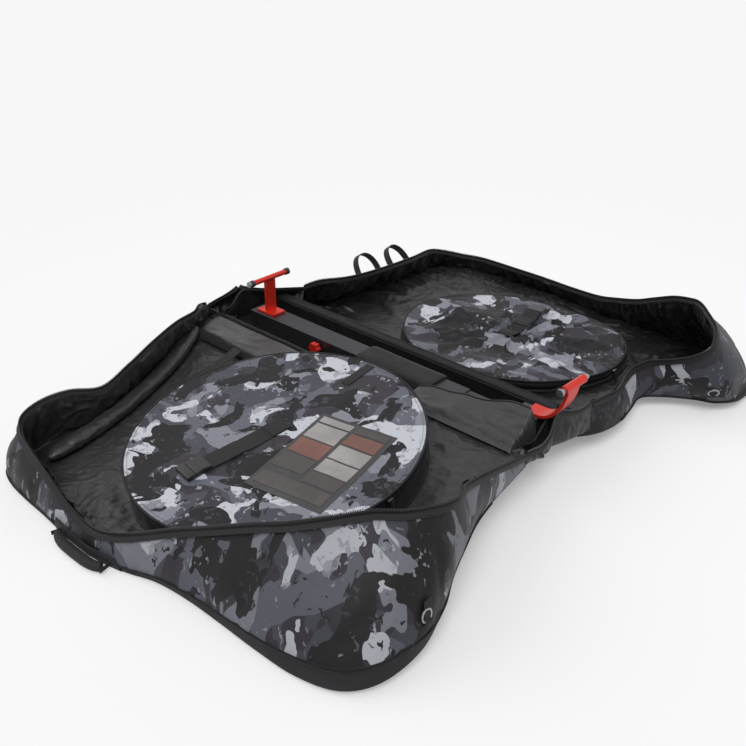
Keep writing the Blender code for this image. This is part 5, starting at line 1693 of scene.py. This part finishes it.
@dataclass
class Base:
    """The fabric covered base pan, its end gathers, the padded sleeve and the tie straps."""

    palette: Palette
    wall: float = 0.0045
    board: float = 0.004
    rail_half_width: float = 0.0302
    ridge_foot: float = -0.0375

    def build(self) -> None:
        """Makes the soft pieces of the base."""
        self._pan()
        self._sleeve()
        self._tie_straps()
        self._end_gathers()
        self._front_bolster()

    @staticmethod
    def _outline(inset: float, count: int = 320) -> Points:
        """Gives the pan's rounded outline.

        Args:
            inset: how far inside the outer face it runs.
            count: how many points it has.

        Returns:
            The points in plan.
        """
        corner = 0.04 - inset
        half_long, half_wide = (PAN_FRONT - PAN_REAR) / 2 - inset, PAN_HALF_WIDTH - inset
        middle = (PAN_FRONT + PAN_REAR) / 2
        line = []
        for sign_x, sign_y, quarter in ((1, 1, 0), (-1, 1, 1), (-1, -1, 2), (1, -1, 3)):
            centre = (middle + sign_x * (half_long - corner), sign_y * (half_wide - corner))
            for turn in np.linspace(quarter * math.pi / 2, (quarter + 1) * math.pi / 2, 12):
                line.append((centre[0] + corner * math.cos(turn), centre[1] + corner * math.sin(turn)))
        line.append(line[0])
        line = np.array(line)
        gone = distances(line)
        return sample(np.linspace(0, gone[-1], count, endpoint=False), gone, line)

    @staticmethod
    def _rim(plan: Points) -> Points:
        """Gives the height of the pan's edge, peaked at each end.

        Args:
            plan: points in plan.

        Returns:
            The heights.
        """
        middle = (PAN_FRONT + PAN_REAR) / 2
        at_end = np.abs(plan[:, 0] - middle) > (PAN_FRONT - PAN_REAR) / 2 - 0.04
        peak = np.cos(np.clip(np.abs(plan[:, 1]) / 0.06, 0, 1) * math.pi / 2)**2
        return PAN_SIDE_TOP + np.where(at_end, PAN_PEAK * peak, 0)

    def _pan(self) -> None:
        """Makes the pan's fabric with its soft edge and gathers."""
        rows = []
        outer, inner = self._outline(0.0), self._outline(self.wall)
        middle = (PAN_FRONT + PAN_REAR) / 2
        near_end = np.clip((np.abs(outer[:, 0] - middle) - 0.42) / 0.1, 0, 1)
        for share in (0.0, 0.5, 0.9):
            rows.append(np.column_stack([middle + (outer[:, 0] - middle) * share, outer[:, 1] * share,
                                         np.full(len(outer), PAN_UNDERSIDE)]))
        for level in np.linspace(0, 1, 8):
            height = PAN_UNDERSIDE + (self._rim(outer) - PAN_UNDERSIDE) * level
            rows.append(np.column_stack([outer, height]))
        for level in np.linspace(1, 0, 8):
            floor = PAN_UNDERSIDE + self.board
            height = floor + (self._rim(inner) - floor) * level
            ring = np.column_stack([inner, height])
            folds = creases(ring, (24.0, 24.0, 8.0), 91.0) * 0.006 * near_end * math.sin(math.pi * level)
            ring[:, 0] -= np.sign(ring[:, 0] - middle) * folds
            rows.append(ring)
        foot = rows[-1].copy()
        for share in (0.97, 0.9, 0.8, 0.65, 0.5, 0.3, 0.1, 0.0):
            ring = foot.copy()
            ring[:, 0] = middle + (foot[:, 0] - middle) * share
            ring[:, 1] = foot[:, 1] * share
            rows.append(ring)
        item = loft("base_fabric", np.array(rows), wrap=True, span=(2.4, 0.5))
        face_outwards(item)
        # The pan takes the darker lining, which is painted shade.
        place_piece(item, "base", (self.palette.lining_painted_shade,), ("base_pan",))
        edge = np.column_stack([self._outline(0.0022), self._rim(self._outline(0.0022)) + 0.001])
        for end, keep in (("front", edge[:, 0] > PAN_FRONT - 0.02), ("rear", edge[:, 0] < PAN_REAR + 0.02)):
            order = np.roll(np.arange(len(edge)), -int(np.argmin(keep)))
            path = edge[order][keep[order]]
            up = tiled(UP, path)
            across = unit(np.cross(heading(path), up))
            item = sweep(f"base_{end}_edge_piping", path, across, up, oval(0.0075, 0.0065, 8))
            place_piece(item, "base", (self.palette.binding,), ())

    def _sleeve(self) -> None:
        """Makes the padded sleeve that lies over the rail."""
        low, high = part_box("rail_sleeve")
        count = 46
        x = np.linspace(low.x, high.x, count)
        half_wide = (high.y - low.y) / 2
        flank = ((0.0, low.z), (0.0, high.z - 0.012), (0.004, high.z - 0.003), (0.014, high.z))
        outline = [(y - half_wide, z) for y, z in flank]
        outline += [(y, high.z + 0.0005) for y in np.linspace(-half_wide + 0.02, half_wide - 0.02, 9)]
        outline += [(half_wide - y, z) for y, z in reversed(flank)]
        inner, over = self.rail_half_width, RAIL_TOP + 0.0004
        outline += [(inner, low.z), (inner, over), (-inner, over), (-inner, low.z)]
        outline = np.array(outline)
        end = np.minimum(np.minimum(x - x[0], x[-1] - x) / 0.012, 1)
        rows = []
        for place, taper in zip(x, end):
            ring = np.column_stack([np.full(len(outline), place), outline])
            puff = cloud(ring, (16, 16, 16), 6.0) * 0.0022 + (taper - 1) * 0.0026
            top = ring[:, 2] > RAIL_TOP + 0.002
            ring[top, 2] += puff[top]
            rows.append(ring)
        item = loft("sleeve_padding", np.array(rows), wrap=True, caps=True, span=(0.2, 0.25))
        place_piece(item, "base", (self.palette.canvas,), ("rail_sleeve",), 70)

    def _tie_straps(self) -> None:
        """Lays the two tie straps beside the rail."""
        for name in ("near_tie_strap", "far_tie_strap"):
            low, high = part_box(name)
            x = np.linspace(low.x, high.x, 70)
            middle = (low.y + high.y) / 2
            wave = 0.0012 * (1 - np.cos((x - low.x) * 42.0)) + 0.0008
            y = middle + 0.003 * np.sin((x - low.x) * 13.0)
            path = np.column_stack([x, y, (low.z + high.z) / 2 + wave])
            across = tiled(ACROSS, path)
            up = unit(np.cross(heading(path), across))
            item = sweep(name + "_webbing", path, across, up, oval(0.027, 0.0018, 12, 6.0))
            place_piece(item, "base", (self.palette.webbing,), (name,))

    def _end_gathers(self) -> None:
        """Joins each end of the base to the corners of the halves with gathered fabric and a bound edge."""
        for sizes in (NEAR_HALF, FAR_HALF):
            form = HalfForm(sizes)
            self._gather(form, "front", 1)
            self._gather(form, "rear", -1)

    def _gather(self, form: HalfForm, end: str, sign: int) -> None:
        """Makes the gathered wall between one end of the base and the corner of one half.

        Args:
            form: the half.
            end: front or rear.
            sign: one at the front, minus one at the rear.
        """
        name = form.sizes.name
        row = np.array([0.0 if sign > 0 else len(form.rows) - 1.0])
        last, foot = form.wall(row, 1.0)[0], form.wall(row, 0.0)[0]
        edge_x = (PAN_FRONT if sign > 0 else PAN_REAR) + sign * 0.0012
        crest = PAN_SIDE_TOP + PAN_PEAK + (0.029 if sign > 0 else 0.004)
        steps = np.linspace(0, 1, 64)
        start = np.array((edge_x + sign * 0.016, 0.0, crest))
        top = start + (last - start) * steps[:, None]
        top[:, 0] += sign * 0.012 * np.sin(math.pi * steps)
        if sign > 0 and form.side < 0:
            heights = (crest, 0.158, 0.140, 0.130, 0.1235, last[2])
            top[:, 2] = np.interp(steps, (0, 0.10, 0.2, 0.32, 0.6, 1), heights)
            even_out(top[:, 2], 12)
        else:
            top[:, 2] -= 0.011 * np.sin(math.pi * steps**0.7)
        low = np.array((edge_x, 0.0, PAN_UNDERSIDE + 0.006))
        bottom = low + (foot + (last - foot) * 0.2 - low) * steps[:, None]
        tuck = np.clip((np.abs(bottom[:, 1]) - 0.025) / 0.03, 0, 1)
        rows = [bottom - np.outer(tuck * inset, (sign, 0.0, 0.0)) for inset in (0.038, 0.019)]
        belly = np.sin(math.pi * steps)
        for level in np.linspace(0, 1, 18):
            line = bottom + (top - bottom) * level
            folds = creases(line * (1, 1, 0.35), (34.0, 34.0, 6.0), 15.0 + form.side, 1.3) * 0.009 * belly
            slant = creases(line, (12.0, 22.0, 20.0), 25.0 + form.side, 1.4) * 0.006 * belly
            line[:, 0] += sign * (belly * 0.005 + folds + slant) * math.sin(math.pi * (0.12 + 0.88 * level))
            rows.append(line)
        item = loft(f"{name}_{end}_gather", np.array(rows), span=(0.15, 0.1))
        thicken(item, HINGE_SKIN)
        run = heading(top)
        rise = unit(top - rows[-4])
        even_out(rise, 80)
        rise = unit(rise - run * (rise * run).sum(1, keepdims=True))
        across = np.cross(run, rise)
        edge = sweep(f"{name}_{end}_gather_binding", top, across, rise, oval(0.0085, 0.011, 10, 3.0))
        above = top + rise * 0.0075
        cord = sweep(f"{name}_{end}_gather_zip", above, across, rise, oval(0.0028, 0.0075, 8, 3.0))
        # The gather takes the darker lining, which is painted shade.
        for piece, material, slot in ((item, self.palette.lining_painted_shade, "black_fabric"),
                                      (edge, self.palette.binding, "zip"), (cord, self.palette.teeth, "zip")):
            blend_piece(piece, material)

    def _front_bolster(self) -> None:
        """Tents the lining beside the front of the rail, from the hinge over a soft ridge to the pan."""
        share = np.linspace(0, 1, 96)
        end = PAN_FRONT - 0.020
        x = np.interp(share, (0, 1), (0.10, end))
        ridge = 0.123 + 0.068 * share**0.9 + 0.0025 * np.sin(share * 17)
        ridge_y = -0.052 + 0.006 * np.sin(share * 9)
        lines = []
        start_y, start_z = -0.136, 0.1145
        for level in np.linspace(0, 1, 34):
            y = start_y + (ridge_y - start_y) * level
            over_hinge = 0.0115 * np.exp(-((y + 0.112) / 0.014)**2)
            z = start_z + (ridge - start_z) * level**1.6 + over_hinge
            line = np.column_stack([x, y, z])
            folds = creases(line, (9.0, 22.0, 18.0), 5.0, 1.3) * 0.005
            folds += creases(line, (20.0, 12.0, 12.0), 9.0, 2.5) * 0.002
            line[:, 2] += folds * math.sin(math.pi * level)**0.7 * np.minimum(1, share * 6)
            lines.append(line)
        for level in np.linspace(0, 1, 10)[1:]:
            y = ridge_y + (self.ridge_foot - ridge_y) * min(level * 2, 1)
            lines.append(np.column_stack([x, y, ridge - (ridge - 0.078) * level**1.3]))
        lines = np.array(lines)
        brow = lines[:, -1:]
        turn = np.linspace(0, math.pi / 2, 18)[1:]
        front = np.repeat(brow, len(turn), axis=1)
        low = np.minimum(0.100, brow[..., 2])
        front[..., 2] = low + (brow[..., 2] - low) * np.cos(turn)
        pleats = np.sin(brow[..., 1] * 420) * 0.0022 + cloud(front, (60, 60, 8), 3.0) * 0.002
        front[..., 0] += np.sin(turn)**0.5 * 0.011 + pleats * np.sin(turn)
        item = loft("front_bolster_cloth", np.concatenate([lines, front], axis=1), span=(0.34, 0.2))
        thicken(item, HINGE_SKIN)
        blend_piece(item, self.palette.lining, 80)
        path = np.column_stack([x, ridge_y, ridge + 0.0006])
        across = tiled(ACROSS, path)
        up = unit(np.cross(heading(path), across))
        cord = sweep("front_bolster_piping", path, across, up, oval(0.0045, 0.0045, 8))
        place_piece(cord, "base", (self.palette.gusset,), ())


@dataclass
class Trim:
    """Handles, loops, rings' tabs, the retaining band and the main zip's pulls."""

    near: HalfForm
    far: HalfForm
    palette: Palette
    handle_reach: float = 0.080
    handle_height: float = 0.0113
    handle_radius: float = 0.0105
    tab_lowest: float = 0.0125
    panel_share: float = 0.45

    def build(self) -> None:
        """Makes the small soft pieces."""
        for name in ("near", "far"):
            self._handle(name)
        for name, row_share in (("far_rear_loop", 0.905), ("far_outer_loop", 0.874)):
            self._loop(name, row_share)
        self._band()
        for form in (self.near, self.far):
            self._ring_tab(form)
        for name in ("front", "rear"):
            self._main_pull(name)

    def _handle(self, name: str) -> None:
        """Makes a padded grab handle with webbing ends.

        Args:
            name: the half's name.
        """
        side = -1 if name == "near" else 1
        points = read_points(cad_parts[name + "_grab_handle"])
        low, high = points.min(0), points.max(0)
        middle = (low[0] + high[0]) / 2
        reach, radius = self.handle_reach, self.handle_radius
        share = np.linspace(-1, 1, 49)
        tuck = (high[1] - low[1]) - 0.022
        inner = (low[1] if side > 0 else high[1]) + side * 0.011
        y = inner + side * tuck * (1 - np.abs(share)**4)
        path = np.column_stack([middle + reach * share, y, np.full(len(share), self.handle_height)])
        up = tiled(UP, path)
        across = unit(np.cross(heading(path), up))
        turn = np.linspace(0, 2 * math.pi, 24, endpoint=False)
        fill = (1 - np.abs(share)**3)[:, None]
        inner_side = np.where(np.cos(turn) * np.sign(across[len(path) // 2, 1]) * side < 0, 1.0, 0.0)
        wide = np.cos(turn) * (radius + 0.0045 * fill * inner_side)
        high_share = (np.sin(turn) * radius)[None, :, None]
        ring = path[:, None] + across[:, None] * wide[..., None] + up[:, None] * high_share
        item = loft(name + "_handle_padding", ring, wrap=True, caps=True, span=(0.06, 0.16))
        points = read_points(item)
        points[:, 2] += cloud(points, (40, 40, 40), 3.0) * 0.0008
        write_points(item, points)
        nodes = (name + "_grab_handle",)
        place_piece(item, name + "_handle", (self.palette.canvas,), nodes)
        form = self.near if side < 0 else self.far
        skirt = form.wall(form.positions, 0.14) + form.outward(form.positions) * 0.002
        skirt = skirt[int(len(skirt) * 0.35):int(len(skirt) * 0.85)]
        for end, place, reach_out in (("front", path[-1], 0.003), ("rear", path[0], -0.003)):
            wanted = middle + math.copysign(reach, reach_out) + reach_out
            target = skirt[np.argmin(np.abs(skirt[:, 0] - wanted))]
            inner = place + (math.copysign(-0.012, reach_out), side * 0.0108, 0)
            tab = inner + (target - inner) * np.linspace(0, 1, 12)[:, None]
            tab[:, 2] = np.maximum(tab[:, 2], self.tab_lowest)
            tab_run, tab_up = heading(tab), tiled(UP, tab)
            tab_up = unit(tab_up - tab_run * (tab_up * tab_run).sum(1, keepdims=True))
            flat = np.cross(tab_run, tab_up)
            piece = sweep(f"{name}_handle_{end}_tab", tab, tab_up, flat, oval(0.0105, WEB_THICK, 10, 6.0))
            place_piece(piece, name + "_half", (self.palette.webbing,), ())
        self._handle_backing(name, middle)
        line = path[6:-6].copy()
        line[:, 2] += radius
        stitches = stitch_row(name + "_handle_stitches", line, across[6:-6], up[6:-6], 0.005)
        place_piece(stitches, name + "_handle", (self.palette.thread,), (), 30)

    def _handle_backing(self, name: str, middle: float) -> None:
        """Sews a plain black panel to the wall behind a grab handle.

        Args:
            name: the half's name.
            middle: where the handle is along the bag.
        """
        form = self.near if name == "near" else self.far
        foot = form.wall(form.positions, 0.0)
        last = len(form.rows)
        outer = (form.positions > last * 0.35) & (form.positions < last * 0.85)
        keep = form.positions[outer & (np.abs(foot[:, 0] - middle) < 0.115)]
        out = form.outward(keep)
        top = self.panel_share
        rows = [form.wall(keep, float(level)) + out * (0.0012 + 0.0010 * (1 - abs(2 * level / top - 1)**8))
                for level in np.linspace(0.0, top, 14)]
        item = loft(name + "_handle_panel", np.array(rows), span=(0.2, 0.08))
        thicken(item, HINGE_SKIN, 0)
        place_piece(item, name + "_half", (self.palette.canvas,), ())

    def _ring_tab(self, form: HalfForm) -> None:
        """Sews the webbing tab that holds the corner ring to the wall.

        Args:
            form: the half.
        """
        row = np.array([0.2333 * (len(form.rows) - 1)])
        levels = np.linspace(0.22, 0.42, 18)
        line = np.array([form.wall(row, float(level))[0] for level in levels])
        out = form.outward(row)[0]
        run = (form.wall(row + 0.25, 0.3) - form.wall(row - 0.25, 0.3))[0]
        across = tiled(unit(run), line)
        facing = np.cross(heading(line), across)
        up = unit(facing) * np.sign(facing @ out)[:, None]
        lift = 0.0022 + 0.0045 * np.exp(-((levels - 0.245) / 0.02)**2)
        name, section = form.sizes.name, oval(0.020, WEB_THICK, 12, 6.0)
        item = sweep(name + "_ring_tab", line + up * lift[:, None], across, up, section)
        place_piece(item, name + "_half", (self.palette.webbing,), ())

    def _loop(self, name: str, row_share: float) -> None:
        """Makes a webbing carrying loop that stands out of the far wall.

        Args:
            name: the loop's node.
            row_share: where it is along the outline.
        """
        far, level = self.far, 0.8
        row = row_share * (len(far.rows) - 1)
        here, = far.wall(np.array([row]), level)
        run = (far.wall(np.array([row + 0.25]), level) - far.wall(np.array([row - 0.25]), level))[0]
        rise = (far.wall(np.array([row]), level + 0.05) - far.wall(np.array([row]), level - 0.05))[0]
        out = unit(np.cross(run, rise))
        way = unit(run)
        width = np.cross(way, out)
        turn = np.linspace(0, math.pi, 64)
        path = here + out * 0.0012 + np.outer(np.cos(turn) * 0.049, way)
        path += np.outer(np.sin(turn)**0.7 * 0.074, out) + np.outer(np.sin(turn) * 0.004, width)
        normal = unit(np.cross(heading(path), width))
        item = sweep(name + "_webbing", path, tiled(width, path), normal, oval(0.0235, WEB_THICK, 12, 6.0))
        place_piece(item, "far_half", (self.palette.webbing,), (name,))

    def _band(self) -> None:
        """Lays the retaining band on the near panel."""
        points = read_points(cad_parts["near_retaining_band"])
        middle = points.mean(0)
        rotation = np.array(self.near.panel)[:3, :3]
        count = 50
        path = middle + np.outer(np.linspace(-0.5, 0.5, count) * 0.205, rotation[:, 1])
        lift = np.interp(np.abs(path[:, 1]), (0.133, 0.165, 0.195, 0.215, 0.24, 0.27, 0.30, 0.338),
                         (0.019, 0.030, 0.040, 0.043, 0.041, 0.035, 0.031, 0.030))
        even_out(lift, 10)
        path += np.outer(lift, rotation[:, 2])
        across = tiled(rotation[:, 0], path)
        up = unit(np.cross(heading(path), across))
        item = sweep("near_band_webbing", path, across, up, oval(0.032, WEB_THICK, 12, 6.0))
        place_piece(item, "near_half", (self.palette.webbing,), ("near_retaining_band",))

    def _main_pull(self, name: str) -> None:
        """Makes a webbing pull of the main zip.

        Args:
            name: which end of the bag.
        """
        node = name + "_zip_slider_pull"
        points = read_points(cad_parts[node])
        middle = points.mean(0)
        _, _, axes = np.linalg.svd(points - middle, full_matrices=False)
        step = np.linspace(-0.5, 0.5, 16) * 0.042
        path = middle + np.outer(step, axes[0]) + np.outer(0.0012 * np.sin(step * 90), axes[2])
        across, up = tiled(axes[1], path), tiled(axes[2], path)
        item = sweep(name + "_pull_webbing", path, across, up, oval(0.009, 0.0024, 10, 4.0))
        place_piece(item, name + "_pull", (self.palette.webbing,), (node,))


@dataclass
class HardParts:
    """Finishes of the hard pieces that keep their made shape."""

    palette: Palette
    edge_width: float = 0.0012
    edge_degrees: float = 50.0

    def build(self) -> None:
        """Paints every hard node."""
        palette = self.palette
        plan = {
            palette.alloy: ["outer_rail", "inner_rail"],
            palette.red: ["rail_clamp_knob", "rear_mount", "fork_mount"],
            palette.plastic: ["rear_near_cap", "rear_far_cap", "mount_block"],
            palette.steel: ["rear_axle", "fork_axle", "near_corner_ring", "far_corner_ring"],
            palette.slider: ["near_lid_slider", "far_lid_slider", "front_zip_slider", "rear_zip_slider"],
            palette.rubber: [],
        }
        for end in ("rear", "front"):
            for flank in ("near", "far"):
                plan[palette.steel].append(f"{end}_{flank}_castor_plate")
                plan[palette.alloy].append(f"{end}_{flank}_castor_fork")
                plan[palette.rubber].append(f"{end}_{flank}_castor_wheel")
        for material, nodes in plan.items():
            for node in nodes:
                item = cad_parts[node]
                item.data.materials.clear()
                item.data.materials.append(material)
                LOG.info("%s: %s", node, material.name)
        for node in ("rear_mount", "fork_mount", "rail_clamp_knob"):
            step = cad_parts[node].modifiers.new("Edges", "BEVEL")
            step.width = self.edge_width
            step.segments = 2
            step.limit_method = "ANGLE"
            step.angle_limit = math.radians(self.edge_degrees)


@dataclass(frozen=True)
class Sun:
    """A distant light: where it shines from, how strong it is and how wide."""

    name: str
    way: tuple[float, float, float]
    power: float
    spread: float


@dataclass(frozen=True)
class CameraPlace:
    """Where the camera stands, how it is turned and its lens in millimetres."""

    spot: tuple[float, float, float] = (1.44982, -1.66518, 1.29162)
    right: tuple[float, float, float] = (0.73105, 0.68233, -0.00022)
    up: tuple[float, float, float] = (-0.32350, 0.34689, 0.88035)
    lens: float = 46.83
    sensor: float = 36.0
    reach: float = 200.0


@dataclass
class Studio:
    """Floor, world, lights and camera."""

    paper: tuple[float, float, float, float] = (0.93, 0.93, 0.93, 1.0)
    room_light: float = 0.45
    floor_size: float = 90.0
    floor_height: float = -0.0005
    suns: tuple[Sun, ...] = (Sun("key", (0.8, -1.1, 1.8), 1.9, 34.0),
                             Sun("fill", (-1.7, -0.6, 1.7), 0.5, 50.0))
    camera: CameraPlace = CameraPlace()

    def build(self) -> None:
        """Sets up the studio."""
        self._floor()
        self._world()
        self._lights()
        self._camera()

    @staticmethod
    def _seen(tree: bpy.types.NodeTree) -> Socket:
        """Tells where the camera sees a surface, straight, mirrored or through another.

        Args:
            tree: the nodes of the material or of the world.

        Returns:
            The socket of the mask.
        """
        rays = tree.nodes.new("ShaderNodeLightPath").outputs
        last = rays["Is Camera Ray"]
        for ray in ("Is Glossy Ray", "Is Transmission Ray"):
            either = tree.nodes.new("ShaderNodeMath")
            either.operation = "MAXIMUM"
            tree.links.new(last, either.inputs[0])
            tree.links.new(rays[ray], either.inputs[1])
            last = either.outputs[0]
        return last

    def _floor(self) -> None:
        """Lays the pale floor."""
        bpy.ops.mesh.primitive_plane_add(size=self.floor_size, location=(0, 0, self.floor_height))
        floor = bpy.context.object
        floor.name = "studio_floor"
        shader = Shader("studio_floor", Finish((0.80, 0.80, 0.80), 0.95, specular=0.0))
        paper = shader.node("Emission", {"Color": self.paper, "Strength": 1.0}).outputs[0]
        lit = shader.node("BsdfDiffuse", {"Color": self.paper}).outputs[0]
        place = shader.place.outputs["Object"]
        reach = shader.node("VectorMath", {0: place}, operation="LENGTH").outputs["Value"]
        span = {"Value": reach, "From Min": 0.9, "From Max": 2.1, "To Min": 0.75, "To Max": 0.0}
        fade = shader.node("MapRange", span, interpolation_type="SMOOTHSTEP").outputs[0]
        ground = shader.node("MixShader", {0: fade, 1: paper, 2: lit}).outputs[0]
        mixed = {0: self._seen(shader.tree), 1: shader.body.outputs[0], 2: ground}
        whole = shader.node("MixShader", mixed).outputs[0]
        shader.tree.links.new(whole, shader.tree.nodes["Material Output"].inputs["Surface"])
        floor.data.materials.append(shader.material)

    def _world(self) -> None:
        """Fills the room with soft even light and shows it as pale as the floor."""
        world = bpy.data.worlds.new("studio")
        bpy.context.scene.world = world
        world.use_nodes = True
        tree = world.node_tree
        lit = tree.nodes["Background"]
        lit.inputs["Color"].default_value = (1.0, 1.0, 1.0, 1.0)
        lit.inputs["Strength"].default_value = self.room_light
        shown = tree.nodes.new("ShaderNodeBackground")
        shown.inputs["Color"].default_value = self.paper
        both = tree.nodes.new("ShaderNodeMixShader")
        for index, source in enumerate((self._seen(tree), lit.outputs[0], shown.outputs[0])):
            tree.links.new(source, both.inputs[index])
        tree.links.new(both.outputs[0], tree.nodes["World Output"].inputs["Surface"])

    def _lights(self) -> None:
        """Sets a wide soft light from the upper left and a weaker one from the right."""
        for sun in self.suns:
            data = bpy.data.lights.new(sun.name, "SUN")
            data.energy = sun.power
            data.angle = math.radians(sun.spread)
            lamp = bpy.data.objects.new(sun.name, data)
            lamp.rotation_euler = Vector(sun.way).to_track_quat("Z", "Y").to_euler()
            bpy.context.scene.collection.objects.link(lamp)

    def _camera(self) -> None:
        """Stands the camera where the photograph was taken from."""
        place = self.camera
        data = bpy.data.cameras.new("camera")
        data.lens = place.lens
        data.sensor_width = place.sensor
        data.clip_end = place.reach
        camera = bpy.data.objects.new("camera", data)
        right, up = Vector(place.right), Vector(place.up)
        turn = Matrix((right, up, right.cross(up))).transposed().to_4x4()
        camera.matrix_world = Matrix.Translation(place.spot) @ turn
        scene = bpy.context.scene
        scene.collection.objects.link(camera)
        scene.camera = camera
        scene.view_settings.view_transform = "Standard"


def main() -> None:
    """Dresses the whole bag."""
    Studio().build()
    palette = Palette()
    near, far = HalfForm(NEAR_HALF), HalfForm(FAR_HALF)
    for form in (near, far):
        HalfShell(form, palette).build()
        bag = WheelBag(form, palette)
        bag.build()
        if form is near:
            Patch(bag, palette).build()
    Base(palette).build()
    Trim(near, far, palette).build()
    HardParts(palette).build()


if __name__ == "__main__":
    main()
